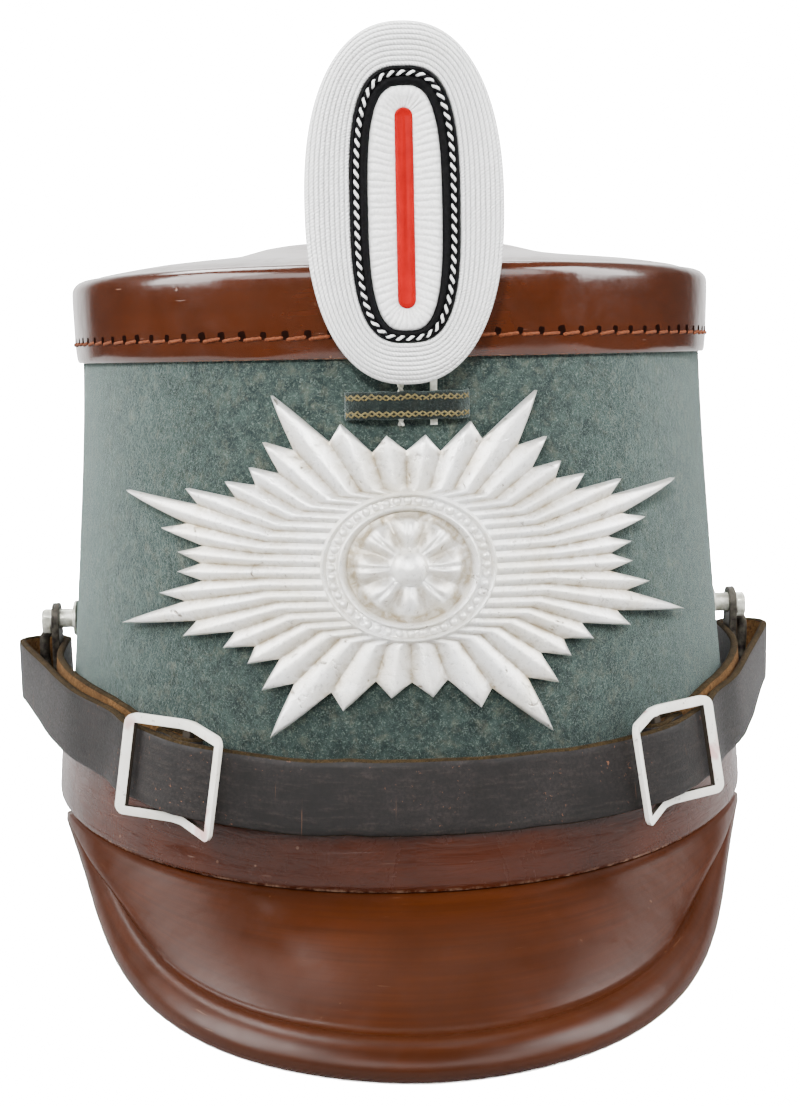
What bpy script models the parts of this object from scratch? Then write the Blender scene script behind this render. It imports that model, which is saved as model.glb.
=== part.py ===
"""Shako: a stiff felt body with a lacquered leather crown, a base band and two peaks.

A strap folded round two lugs crosses the front, under a cast rayed plate and an oval cockade.
Units are metres. The hat stands on its peaks at height zero and its front faces -Y, so the
wearer's left is +X. A turn is an angle about the upright axis, from the front towards +X.
"""
import math

import bmesh
import bpy
from mathutils import Matrix, Vector

MM = 0.001
GAP = 0.3 * MM                      # clearance between neighbouring pieces
FACETS = 56                         # facets round the hat
ORIGIN_SHIFT = 6.3 * MM             # puts the middle of the whole hat over the origin
SIDES = (("left", 1.0), ("right", -1.0))

# Felt body: the oval of its outside at each height, and its wall.
BODY_SECTIONS = (
    # height, half width, front reach, back reach, all in millimetres
    (20.0, 86.2, 101.0, 102.2),
    (44.0, 84.2, 98.6, 99.6),
    (70.0, 81.8, 95.6, 95.4),
    (102.0, 79.3, 92.0, 90.2),
    (133.0, 77.8, 88.4, 85.6),
    (152.0, 77.7, 87.6, 84.4),
)
FELT_WALL = 3.0 * MM
FELT_TOP = 146.6 * MM

# Joint line of body and peaks: level at the front, a little higher at the sides.
JOINT_HEIGHT = 23.3 * MM
JOINT_RISE = 3.4 * MM
JOINT_RISE_POWER = 2.5

# Leather base band, outside the felt.
BAND_TOP = 44.0 * MM
BAND_WALL = 1.7 * MM
BAND_FACE = GAP + BAND_WALL         # how far its face stands off the felt

# Crown: rings of a stepped lid and its turned-down edge. The scale shrinks the oval of the
# rim, and the stand-off (mm) moves the ring out from the felt; heights are in millimetres.
RIM_HEIGHT = 150.0 * MM
CROWN_RINGS = (
    # scale, stand-off, height
    (0.34, 0.0, 161.3),
    (0.44, 0.0, 160.5),
    (0.52, 0.0, 158.4),
    (0.87, 0.0, 155.1),
    (1.00, -2.6, 153.0),
    (1.00, 0.7, 151.7),
    (1.00, 2.1, 148.6),
    (1.00, 1.9, 142.0),
    (1.00, 1.3, 133.4),
    (1.00, 0.3, 133.4),
    (1.00, 0.5, 147.6),
    (1.00, -3.2, 150.6),
    (0.87, 0.0, 153.1),
    (0.52, 0.0, 156.4),
    (0.34, 0.0, 159.3),
)

# Peaks: a leather sheet that slopes from the joint line down to a rolled lip.
PEAK_SHEET = 2.0 * MM
PEAK_BULGE = 0.8 * MM
LIP_HALF_LENGTH = 5.0 * MM
LIP_HALF_THICKNESS = 3.2 * MM
LIP_END_SCALE = 0.25
LIP_FADE_POWER = 5.5                # the lip stays full until near its ends
PEAK_FLAT_TURN = 11.5               # the lip lies on the table as far as this turn
PEAK_RISE_POWER = 2.1
PEAK_END_REACH = 0.3 * MM
PEAK_END_DROP = 3.3 * MM             # from the joint line to the lower edge at its ends
PEAK_TAPER = 2.15                   # higher: narrower towards its ends
PEAK_FULLNESS = 0.88                # lower: more pointed in its middle
PEAK_SECTION_STEP = 5.0             # degrees between sections
PEAKS = (
    # name, turn of its middle, half spread (degrees), reach (mm)
    ("front_peak", 0.0, 68.5, 43.5),
    ("rear_peak", 180.0, 60.0, 29.5),
)

# Chin strap: one leather strip. Its middle line rises from the front towards the sides.
STRAP_WIDTH = 16.0 * MM
STRAP_THICKNESS = 1.8 * MM
STRAP_HEIGHTS = (
    # place along Y, height of the middle line, in millimetres
    (-112.0, 43.3),
    (-100.0, 43.3),
    (-93.0, 44.0),
    (-70.0, 48.1),
    (-58.0, 49.6),
    (10.0, 54.0),
)
STRAP_OVER_BUCKLE = (
    # place along the buckle, rise above a layer that lies on the band, in millimetres
    (-30.0, -5.0),
    (-25.0, -2.6),
    (-20.0, -0.2),
    (-15.5, 1.8),
    (-11.0, 3.5),
    (-5.5, 5.2),
    (0.0, 5.8),
    (5.5, 5.2),
    (11.0, 4.0),
    (16.0, 3.3),
)
STRAP_END_LOOP = (
    # the same columns, for the end that is sewn round the buckle's middle bar
    (3.0, 0.0),
    (-0.6, 0.0),
    (-2.4, 0.8),
    (-2.7, 1.8),
    (-2.4, 2.8),
    (-0.6, 3.6),
    (1.5, 3.5),
    (4.5, 2.4),
    (8.0, 2.1),
)
STRAP_CLEARANCE = 0.7 * MM
STRAP_SEAT = BAND_FACE + STRAP_CLEARANCE + STRAP_THICKNESS / 2   # middle of a layer on the band
STRAP_LEAN = 0.09                   # it leans in with the wall: inwards for each unit upwards
SIDE_EASE = 0.8 * MM                # at the sides it clears the band, and lies this much closer
SIDE_TURNS = (74.0, 88.0)           # where that begins and where it is complete, in degrees
RETURN_RISE = 1.8 * MM              # the layer on the body stands this much higher than the outer one
STRAP_TILT = 0.8 * MM               # it is this much lower at the left buckle, higher at the right
FOLD_X = 92.3 * MM                  # axis of the fold at each side
FOLD_Y = 5.0 * MM
FOLD_RADIUS = 5.9 * MM
FOLD_FACETS = 8

# Buckles: a frame with a middle bar, bent inwards along that bar.
BUCKLE_PLACES = {"left": 51.0 * MM, "right": 45.4 * MM}   # distance of the bar from the middle
BUCKLE_LENGTH = 29.0 * MM
BUCKLE_HEIGHT = 22.2 * MM
BUCKLE_WINDOW = 18.3 * MM
BUCKLE_SIDE_BAR = 2.3 * MM
BUCKLE_MIDDLE_BAR = 2.2 * MM
BUCKLE_THICKNESS = 1.2 * MM
BUCKLE_BEND = math.radians(22.4)
BUCKLE_EDGE = 0.3 * MM
BUCKLE_SEAT = STRAP_SEAT + STRAP_THICKNESS / 2 + GAP + BUCKLE_THICKNESS / 2

# Lugs and side posts: a plate with an eye on a post, and a bail inside the strap's fold.
POST_HEIGHT = 67.5 * MM
POST_RADIUS = 2.5 * MM
POST_FOOT_RADIUS = 4.6 * MM
POST_FOOT_THICKNESS = 0.9 * MM
POST_FOOT_GAP = 0.75 * MM
POST_NUB_HEIGHT = 6.4 * MM
POST_NUB_THICKNESS = 2.2 * MM
LUG_INNER_X = 87.4 * MM
LUG_THICKNESS = 1.8 * MM
LUG_HALF_WIDTH = 4.1 * MM
LUG_SIDE_SHARES = (0.083, 0.178, 0.38, 1.0)   # places of the points along its straight sides
LUG_EYE_RADIUS = 4.1 * MM
LUG_HOLE_RADIUS = POST_RADIUS + GAP
LUG_FOOT_HEIGHT = 43.4 * MM
LUG_SLANT = math.radians(4.0)       # it hangs square to the strap
BAIL_RADIUS = 1.3 * MM
BAIL_X = 92.4 * MM
BAIL_Y = 4.2 * MM
BAIL_ROOT_Y = 2.4 * MM
BAIL_HEIGHTS = (44.0 * MM, 63.6 * MM)

# Front plate: rays round a rosette, bent to the body. Polar places are stretched to an oval.
PLATE_HEIGHT = 90.5 * MM            # of its centre
PLATE_HALF_WIDTH = 80.0 * MM
PLATE_HALF_HEIGHT = 41.0 * MM
PLATE_BEND_RADIUS = 82.0 * MM
PLATE_STAND_OFF = 0.5 * MM          # of its back from the felt, beside the rosette
TIP_STAND_OFF = 1.9 * MM            # of a tip
PLATE_POINTS = 8
RAY_LENGTHS = (0.66, 0.74, 0.94, 0.74, 0.66)   # of the five rays of each point
RAY_NOTCH = 0.08                    # the valley between two rays ends this much shorter
RAY_ROOT = 0.40                     # where the rays begin, beside the rosette
RAY_PARTS = (0.0, 0.25, 0.5, 0.75, 1.0)
BACK_SHARES = (0.27, 0.14, 0.02)    # rings of the back, inside the rays
VALLEY_RELIEF = 1.0 * MM
RIDGE_RELIEF = 2.3 * MM
TIP_RELIEF = 1.1 * MM
ROSETTE_RINGS = (
    # half width, half height, relief, extra relief in the middle of a petal, in millimetres
    (1.6, 1.6, 6.4, 0.0),
    (3.4, 3.4, 5.4, 0.0),
    (4.2, 4.2, 3.2, 0.6),
    (7.6, 7.6, 3.0, 2.0),
    (10.6, 10.2, 2.2, 0.8),
    (13.0, 11.4, 2.0, 0.0),
    (14.0, 12.2, 4.0, 0.0),
    (17.2, 14.6, 4.0, 0.0),
    (18.4, 15.6, 2.0, 0.0),
)

# Cockade: oval rings in front of the crown, carried by a prong behind a felt pocket.
COCKADE_X = 0.5 * MM
COCKADE_HEIGHT = 164.3 * MM         # of its centre
COCKADE_BACK_Y = -92.2 * MM
COCKADE_FACETS = 36
COCKADE_PLATE = 1.2 * MM
# half width, half height, drop of its middle (mm) and power of each oval; a slot has no power
RIM_OVAL = (20.3, 36.3, 0.0, 2.3)
RING_OVAL = (11.0, 27.2, 0.5, 3.0)
FIELD_OVAL = (7.5, 24.3, 1.2, 3.0)
BAR_SLOT = (1.85, 19.9, 1.1, None)
RIM_DEPTHS = (1.4, 3.0, 4.4)        # how far the rim stands off its plate, edge to middle
RING_DEPTH = 5.2
FIELD_DEPTHS = (4.6, 5.0)
BAR_DEPTHS = (4.0, 4.6)
PRONG_LEGS = (-1.4, 5.4)            # millimetres from the cockade's middle
PRONG_WIDTH = 1.5 * MM
PRONG_THICKNESS = 0.9 * MM
PRONG_HEIGHTS = (138.0, 131.0, 127.4, 119.5)
POCKET_HALF_WIDTH = 13.5 * MM
POCKET_HEIGHTS = (121.0 * MM, 126.4 * MM)
POCKET_THICKNESS = 1.0 * MM
POCKET_BULGE = 2.6 * MM
POCKET_FACETS = 12


def clear_scene():
    for item in list(bpy.data.objects):
        bpy.data.objects.remove(item, do_unlink=True)


def finish_material(name, colour, roughness, metallic=0.0):
    material = bpy.data.materials.new(name)
    material.use_nodes = True
    shader = material.node_tree.nodes["Principled BSDF"]
    shader.inputs["Base Color"].default_value = (*colour, 1.0)
    shader.inputs["Roughness"].default_value = roughness
    shader.inputs["Metallic"].default_value = metallic
    material.diffuse_color = (*colour, 1.0)
    return material


def add_object(name, bm, material):
    """Turn a bmesh into a named object whose faces point outwards."""
    bmesh.ops.recalc_face_normals(bm, faces=bm.faces)
    mesh = bpy.data.meshes.new(name)
    bm.to_mesh(mesh)
    bm.free()
    mesh.materials.append(material)
    mesh.shade_smooth()
    mesh.set_sharp_from_angle(angle=math.radians(35))
    piece = bpy.data.objects.new(name, mesh)
    bpy.context.collection.objects.link(piece)
    return piece


def loft(loops, ring=False):
    """Skin a row of closed loops. A ring joins the last loop to the first; else both are capped."""
    bm = bmesh.new()
    rows = [[bm.verts.new(point) for point in loop] for loop in loops]
    spans = list(zip(rows, rows[1:]))
    if ring:
        spans.append((rows[-1], rows[0]))
    else:
        bm.faces.new(rows[0])
        bm.faces.new(rows[-1][::-1])
    for near, far in spans:
        for i in range(len(near)):
            j = (i + 1) % len(near)
            bm.faces.new((near[i], near[j], far[j], far[i]))
    return bm


def smooth_row(table, key):
    """Smoothly interpolate a table on its first column."""
    last = len(table) - 2
    i = max(k for k in range(last + 1) if k == 0 or table[k][0] <= key)
    before, low, high = table[max(i - 1, 0)], table[i], table[i + 1]
    after = table[min(i + 2, last + 1)]
    span = high[0] - low[0]
    t = min(max((key - low[0]) / span, 0.0), 1.0)
    values = []
    for a, b, c, d in list(zip(before, low, high, after))[1:]:
        slope_low = (c - a) / (high[0] - before[0]) * span
        slope_high = (d - b) / (after[0] - low[0]) * span
        values.append(
            (2 * t**3 - 3 * t**2 + 1) * b + (t**3 - 2 * t**2 + t) * slope_low
            + (3 * t**2 - 2 * t**3) * c + (t**3 - t**2) * slope_high
        )
    return values


def body_size(height):
    """Half width, front reach and back reach of the felt at a height."""
    return [value * MM for value in smooth_row(BODY_SECTIONS, height / MM)]


def oval_frame(size, turn):
    """Place and outward direction, both level, on an egg-shaped oval."""
    half_width, front, back = size
    length = front if math.cos(turn) >= 0.0 else back
    place = Vector((half_width * math.sin(turn), -length * math.cos(turn), 0.0))
    out = Vector((place.x / half_width**2, place.y / length**2, 0.0)).normalized()
    return place, out


def body_point(turn, height, stand_off=0.0):
    """Point that stands off the felt's outside at a turn and a height."""
    place, out = oval_frame(body_size(height), turn)
    point = place + out * stand_off
    point.z = height
    return point


def joint_height(turn):
    return JOINT_HEIGHT + JOINT_RISE * abs(math.sin(turn)) ** JOINT_RISE_POWER


def full_circle(count):
    return [math.tau * i / count for i in range(count)]


def wall_rings(heights, stand_off):
    """Rings round the body. A height of None is the joint line."""
    rings = []
    for height in heights:
        levels = [joint_height(turn) if height is None else height for turn in full_circle(FACETS)]
        rings.append([
            body_point(turn, level, stand_off) for turn, level in zip(full_circle(FACETS), levels)
        ])
    return rings


def make_felt_body(material):
    outside = wall_rings([None, 44 * MM, 70 * MM, 100 * MM, 126 * MM, FELT_TOP], 0.0)
    inside = wall_rings([FELT_TOP, 108 * MM, 66 * MM, None], -FELT_WALL)
    add_object("felt_body", loft(outside + inside, ring=True), material)


def make_base_band(material):
    heights = [None, BAND_TOP]
    outside = wall_rings(heights, BAND_FACE)
    inside = wall_rings(heights[::-1], GAP)
    add_object("base_band", loft(outside + inside, ring=True), material)


def make_crown_top(material):
    rings = []
    for scale, stand_off, height in CROWN_RINGS:
        # the turned-down edge follows the felt, and the lid follows the rim's oval
        size = body_size(min(height * MM, RIM_HEIGHT))
        ring = []
        for turn in full_circle(FACETS):
            place, out = oval_frame([scale * value for value in size], turn)
            point = place + out * stand_off * MM
            point.z = height * MM
            ring.append(point)
        rings.append(ring)
    add_object("crown_top", loft(rings), material)


def peak_section(turn, offset, spread, reach):
    """Section of a peak: a ledge under the body, the sheet, and the rolled lip."""
    share = min(abs(offset) / spread, 1.0)
    taper = math.cos(math.pi / 2 * share**PEAK_FULLNESS) ** PEAK_TAPER
    length = PEAK_END_REACH + (reach - PEAK_END_REACH) * taper
    lip = 1.0 - (1.0 - LIP_END_SCALE) * share**LIP_FADE_POWER
    half_length, half_thickness = LIP_HALF_LENGTH * lip, LIP_HALF_THICKNESS * lip
    half_sheet = PEAK_SHEET / 2 * min(1.0, 1.2 * lip)

    top = joint_height(turn) - GAP
    end_height = joint_height(math.radians(spread)) - PEAK_END_DROP
    climb = max(0.0, (abs(offset) - PEAK_FLAT_TURN) / (spread - PEAK_FLAT_TURN))
    edge_height = end_height * climb**PEAK_RISE_POWER

    # the lip is an oval in line with the slope, which touches the edge height and the reach
    slope = math.atan2(top - edge_height, length)
    for _ in range(4):
        below = math.hypot(half_length * math.sin(slope), half_thickness * math.cos(slope))
        beyond = math.hypot(half_length * math.cos(slope), half_thickness * math.sin(slope))
        centre = Vector((length - beyond, edge_height + below))
        start = Vector((0.0, top - half_sheet))
        slope = math.atan2(start.y - centre.y, max(centre.x, 0.1 * MM))
    along = Vector((math.cos(slope), -math.sin(slope)))
    across = Vector((math.sin(slope), math.cos(slope)))
    crease = math.asin(half_sheet / half_thickness)
    lip_points = []
    for k in range(7):
        angle = (math.pi - crease) * (1.0 - k / 3.0)
        lip_points.append(
            centre + along * half_length * math.cos(angle) + across * half_thickness * math.sin(angle)
        )
    middle = (start + centre) / 2 + across * PEAK_BULGE * lip
    profile = (
        [Vector((-BAND_FACE - FELT_WALL, top)), Vector((0.0, top))]
        + [middle + across * half_sheet] + lip_points + [middle - across * half_sheet]
        + [Vector((-BAND_FACE - FELT_WALL, top - 2 * half_sheet))]
    )
    place, out = oval_frame(body_size(top), turn)
    face = place + out * BAND_FACE
    return [face + out * point.x + Vector((0.0, 0.0, point.y)) for point in profile]


def make_peaks(material):
    for name, middle, spread, reach in PEAKS:
        count = int(2 * spread / PEAK_SECTION_STEP)
        sections = []
        for i in range(count + 1):
            offset = -spread + 2 * spread * i / count
            turn = math.radians(middle + offset)
            sections.append(peak_section(turn, offset, spread, reach * MM))
        add_object(name, loft(sections), material)


def strap_height(place_y, sign):
    """Height of the strap's middle line; the sign is 1 at the wearer's left and -1 at the right."""
    ahead = min(max(-place_y / (98 * MM), 0.0), 1.0)
    tilt = STRAP_TILT * 2.0 * ahead * math.sqrt(1.0 - ahead**2)
    return smooth_row(STRAP_HEIGHTS, place_y / MM)[0] * MM - sign * tilt


def side_sign(side_name):
    return 1.0 if side_name == "left" else -1.0


def buckle_frame(side_name):
    """Felt point under the buckle's middle bar, direction to the back, and direction outwards."""
    distance = BUCKLE_PLACES[side_name]
    size = body_size(strap_height(-80 * MM, 0.0))
    place, out = oval_frame(size, math.asin(distance / size[0]))
    return place, Vector((-out.y, out.x, 0.0)), out


def buckle_slope(side_name):
    """Rise of the buckle for each unit towards the back."""
    sign = side_sign(side_name)
    felt, back, _ = buckle_frame(side_name)
    start, end = felt - back * BUCKLE_LENGTH / 2, felt + back * BUCKLE_LENGTH / 2
    return (strap_height(end.y, sign) - strap_height(start.y, sign)) / BUCKLE_LENGTH


def side_share(turn):
    """How far the strap is eased at a turn: 0 over the band, 1 at the sides."""
    first, last = SIDE_TURNS
    return min(max((math.degrees(abs(turn)) - first) / (last - first), 0.0), 1.0)


def seated_point(turn, sign, outer=False, rise=0.0):
    """Middle of a strap layer that lies on the body at a turn, or of the layer outside that one."""
    guess, _ = oval_frame(body_size(BAND_TOP), turn)
    stand_off = STRAP_SEAT - SIDE_EASE * side_share(turn)
    if outer:
        stand_off = STRAP_SEAT + STRAP_THICKNESS + 2 * GAP
    return body_point(turn, strap_height(guess.y, sign) + rise, stand_off)


def smooth_path(points, steps):
    """Smooth curve through points, with a number of steps between each two."""
    path = []
    for i in range(len(points) - 1):
        before, start = points[max(i - 1, 0)], points[i]
        end, after = points[i + 1], points[min(i + 2, len(points) - 1)]
        for k in range(steps):
            t = k / steps
            path.append(0.5 * (
                2 * start + (end - before) * t
                + (2 * before - 5 * start + 4 * end - after) * t**2
                + (3 * start - before - 3 * end + after) * t**3
            ))
    path.append(points[-1])
    return path


def strap_half(side_name):
    """Middle line of one half of the strap, on the +X side, from the front to its sewn end."""
    sign = side_sign(side_name)
    felt, back, out = buckle_frame(side_name)
    slope = buckle_slope(side_name)

    def near_buckle(along, rise):
        """Place along the buckle, in millimetres, and above a layer that lies on the band."""
        place = felt + back * along * MM
        point = place + out * (STRAP_SEAT + rise * MM)
        if abs(along) <= BUCKLE_LENGTH / 2 / MM + 1.0:
            point.z = strap_height(felt.y, sign) + slope * along * MM
        else:
            point.z = strap_height(place.y, sign)
        return point

    size = body_size(strap_height(felt.y, sign))
    buckle_turn = math.atan2(felt.x / size[0], -felt.y / size[1])
    lift_turn = buckle_turn - math.radians(24)
    front = [seated_point(lift_turn * k / 3, sign) for k in range(4)]
    over_buckle = [near_buckle(*place) for place in STRAP_OVER_BUCKLE]

    # over the layer beneath, straight from where it leaves the body to the fold, and round it
    fold = Vector((FOLD_X, FOLD_Y, strap_height(FOLD_Y, sign)))
    outermost = fold + Vector((FOLD_RADIUS, 0.0, 0.0))
    leave_turn = math.radians(50)
    while True:
        leaving = seated_point(leave_turn, sign, outer=True)
        _, away = oval_frame(body_size(leaving.z), leave_turn)
        if (outermost - leaving).dot(away) > 0.0:
            break
        leave_turn += math.radians(1)
    first_outer = buckle_turn + math.radians(15)
    outer = [
        seated_point(first_outer + (leave_turn - first_outer) * k / 2, sign, outer=True)
        for k in range(3)
    ]
    heading = outermost - leaving
    first = -math.atan2(heading.x, heading.y)
    bend = [
        fold + FOLD_RADIUS * Vector((math.cos(a), math.sin(a), 0.0))
        for a in (first + (math.pi - first) * k / FOLD_FACETS for k in range(FOLD_FACETS + 1))
    ]
    outer += [leaving.lerp(bend[0], 0.35), leaving.lerp(bend[0], 0.7)]
    first_turn, last_turn = math.radians(88), buckle_turn + math.radians(9)
    returning = [
        seated_point(first_turn + (last_turn - first_turn) * k / 6, sign,
                     rise=RETURN_RISE * max(math.sin(math.pi * k / 6), 0.0) ** 0.5)
        for k in range(1, 7)
    ]

    # the sewn end goes round the buckle's middle bar
    end_loop = [near_buckle(*place) for place in STRAP_END_LOOP]
    path = smooth_path(front, 3)[:-1]
    path += smooth_path(front[-1:] + over_buckle + outer + bend[:1], 2)[:-1]
    path += smooth_path(bend + returning, 2)[:-1]
    path += smooth_path(returning[-1:] + end_loop, 2)[:-1] + end_loop[-1:]
    return path


def across_strap(point):
    """Direction from the strap's lower edge to its upper edge, the same for all its layers."""
    out = Vector((point.x, point.y * 0.8, 0.0)).normalized()
    run = Vector((-out.y, out.x, 0.0)) * BUCKLE_LENGTH / 2
    sign = math.copysign(1.0, point.x)
    rise = strap_height(point.y + run.y, sign) - strap_height(point.y - run.y, sign)
    slope = rise / BUCKLE_LENGTH
    lean = STRAP_LEAN * (1.0 - side_share(math.atan2(point.x, -point.y * 0.8)))
    return (Vector((0.0, 0.0, 1.0)) - run.normalized() * slope).normalized() - out * lean


def make_chin_strap(material):
    left = strap_half("left")
    right = [Vector((-point.x, point.y, point.z)) for point in strap_half("right")]
    path = right[:0:-1] + left
    sections = []
    for i, point in enumerate(path):
        tangent = (path[min(i + 1, len(path) - 1)] - path[max(i - 1, 0)]).normalized()
        up = across_strap(point) * STRAP_WIDTH / 2
        out = tangent.cross(up).normalized() * STRAP_THICKNESS / 2
        sections.append([point + out + up, point + out - up, point - out - up, point - out + up])
    add_object("chin_strap", loft(sections), material)


def make_buckle(side_name, side, material):
    """Frame of cells, bent along its middle bar; the cells of the two windows are left out."""
    half = BUCKLE_LENGTH / 2
    bar = BUCKLE_MIDDLE_BAR / 2
    lengths = [-half, BUCKLE_SIDE_BAR - half, -bar, 0.0, bar, half - BUCKLE_SIDE_BAR, half]
    widths = [-BUCKLE_HEIGHT / 2, -BUCKLE_WINDOW / 2, BUCKLE_WINDOW / 2, BUCKLE_HEIGHT / 2]
    windows = {(1, 1), (4, 1)}
    felt, back, out = buckle_frame(side_name)
    slant = math.atan(buckle_slope(side_name))
    along = back * math.cos(slant) + Vector((0.0, 0.0, math.sin(slant)))
    up = out.cross(along) if out.cross(along).z > 0 else along.cross(out)
    up -= out * STRAP_LEAN
    centre = felt + out * BUCKLE_SEAT
    centre.z = strap_height(felt.y, side)

    bm = bmesh.new()
    corners = {}
    for i, length in enumerate(lengths):
        for j, width in enumerate(widths):
            for k in (-1, 1):
                rise = max(abs(length) - bar, 0.0) * math.sin(BUCKLE_BEND)
                point = centre + along * length * math.cos(BUCKLE_BEND) + up * width
                point += out * (rise + k * BUCKLE_THICKNESS / 2)
                point.x *= side
                corners[i, j, k] = bm.verts.new(point)

    def is_solid(i, j):
        return 0 <= i < len(lengths) - 1 and 0 <= j < len(widths) - 1 and (i, j) not in windows

    for i in range(len(lengths) - 1):
        for j in range(len(widths) - 1):
            if not is_solid(i, j):
                continue
            for k in (-1, 1):
                cell = ((i, j), (i + 1, j), (i + 1, j + 1), (i, j + 1))
                bm.faces.new([corners[a, b, k] for a, b in cell])
            edges = {
                (i - 1, j): ((i, j), (i, j + 1)), (i + 1, j): ((i + 1, j), (i + 1, j + 1)),
                (i, j - 1): ((i, j), (i + 1, j)), (i, j + 1): ((i, j + 1), (i + 1, j + 1)),
            }
            for neighbour, (a, b) in edges.items():
                if not is_solid(*neighbour):
                    bm.faces.new([corners[(*a, -1)], corners[(*b, -1)],
                                  corners[(*b, 1)], corners[(*a, 1)]])
    piece = add_object(f"strap_buckle_{side_name}", bm, material)
    bevel = piece.modifiers.new("soft edges", "BEVEL")
    bevel.width = BUCKLE_EDGE
    bevel.segments = 1
    bevel.limit_method = "ANGLE"
    bevel.angle_limit = math.radians(50)


def disc_loop(centre, axis_u, axis_v, radius, count):
    return [
        centre + axis_u * radius * math.cos(a) + axis_v * radius * math.sin(a)
        for a in full_circle(count)
    ]


def make_side_post(side_name, side, material):
    """Foot against the felt, shaft through the lug's eye, and a nub that keeps the lug on."""
    across, up = Vector((0.0, 1.0, 0.0)), Vector((0.0, 0.0, 1.0))
    foot_x = body_point(math.pi / 2, POST_HEIGHT).x + POST_FOOT_GAP
    shaft_x = foot_x + POST_FOOT_THICKNESS
    nub_x = LUG_INNER_X + LUG_THICKNESS + 2 * GAP
    end_x = nub_x + POST_NUB_THICKNESS
    rings = []
    for x, radius, drop in (
        (foot_x, POST_FOOT_RADIUS, 0.0), (shaft_x, POST_FOOT_RADIUS, 0.0),
        (shaft_x, POST_RADIUS, 0.0), (nub_x, POST_RADIUS, 0.0),
        (nub_x, POST_RADIUS, 1.0), (end_x, POST_RADIUS, 1.0),
    ):
        ring = disc_loop(Vector((side * x, 0.0, POST_HEIGHT)), across, up, radius, 16)
        for point in ring:
            if point.z < POST_HEIGHT:
                point.z -= drop * (POST_NUB_HEIGHT - 2 * POST_RADIUS)
        rings.append(ring)
    rings[4] = [point + Vector((side * 0.02 * MM, 0.0, 0.0)) for point in rings[4]]
    add_object(f"side_post_{side_name}", loft(rings), material)


def tube(points, radius, sides):
    """Round bar along a path with mitred corners."""
    loops = []
    for i, point in enumerate(points):
        before = (point - points[i - 1]).normalized() if i else None
        after = (points[i + 1] - point).normalized() if i + 1 < len(points) else None
        before, after = before or after, after or before
        tangent = (before + after).normalized()
        side = Vector((0.35, -1.0, 0.0)).cross(tangent).normalized()
        other = tangent.cross(side).normalized()
        stretch = 1.0 / max(before.dot(tangent), 0.5)
        plane = before.cross(after)
        bend = plane.cross(tangent).normalized() if plane.length > 1e-6 else None
        loop = []
        for offset in disc_loop(Vector(), side, other, radius, sides):
            if bend:
                offset += bend * offset.dot(bend) * (stretch - 1.0)
            loop.append(point + offset)
        loops.append(loop)
    return loft(loops)


def make_lug(side_name, side, material):
    """Plate with an eye, joined to a bail that lies in the strap's fold."""
    arc = [math.radians(-8 + 196 * k / 10) for k in range(11)]
    outline = [(LUG_EYE_RADIUS * math.cos(a), LUG_EYE_RADIUS * math.sin(a)) for a in arc]
    foot = LUG_FOOT_HEIGHT - POST_HEIGHT
    outline += [(-LUG_HALF_WIDTH, foot * share) for share in LUG_SIDE_SHARES]
    outline += [(0.0, foot)]
    outline += [(LUG_HALF_WIDTH, foot * share) for share in LUG_SIDE_SHARES[::-1]]
    hole = []
    for y, z in outline:
        length = math.hypot(y, z)
        hole.append((y / length * LUG_HOLE_RADIUS, z / length * LUG_HOLE_RADIUS))

    def at_depth(points, x):
        return [Vector((side * x, y, POST_HEIGHT + z)) for y, z in points]

    outer_x = LUG_INNER_X + LUG_THICKNESS
    rings = [at_depth(outline, LUG_INNER_X), at_depth(outline, outer_x),
             at_depth(hole, outer_x), at_depth(hole, LUG_INNER_X)]
    plate = add_object(f"strap_lug_{side_name}", loft(rings, ring=True), material)

    root_x = LUG_INNER_X + LUG_THICKNESS / 2
    low, high = BAIL_HEIGHTS
    route = [(root_x, BAIL_ROOT_Y, high), (BAIL_X, BAIL_Y, high),
             (BAIL_X, BAIL_Y, low), (root_x, BAIL_ROOT_Y, low)]
    bail = add_object(
        f"bail_{side_name}",
        tube([Vector((side * x, y, z)) for x, y, z in route], BAIL_RADIUS, 8), material,
    )
    bail.hide_render = True
    bail.display_type = "WIRE"
    union = plate.modifiers.new("bail", "BOOLEAN")
    union.operation = "UNION"
    union.solver = "EXACT"
    union.object = bail
    pivot = Matrix.Translation((0.0, 0.0, POST_HEIGHT))
    slant = pivot @ Matrix.Rotation(LUG_SLANT, 4, "X") @ pivot.inverted()
    plate.matrix_world = slant
    bail.matrix_world = slant


def plate_point(x, z, relief):
    """Point of the front plate, from its flat drawing bent to the body."""
    reach = math.hypot(x / PLATE_HALF_WIDTH, z / PLATE_HALF_HEIGHT)
    share = min(max((reach - RAY_ROOT) / (1.0 - RAY_ROOT), 0.0), 1.0)
    stand_off = PLATE_STAND_OFF + (TIP_STAND_OFF - PLATE_STAND_OFF) * share
    return body_point(x / PLATE_BEND_RADIUS, PLATE_HEIGHT + z, stand_off + relief)


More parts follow.
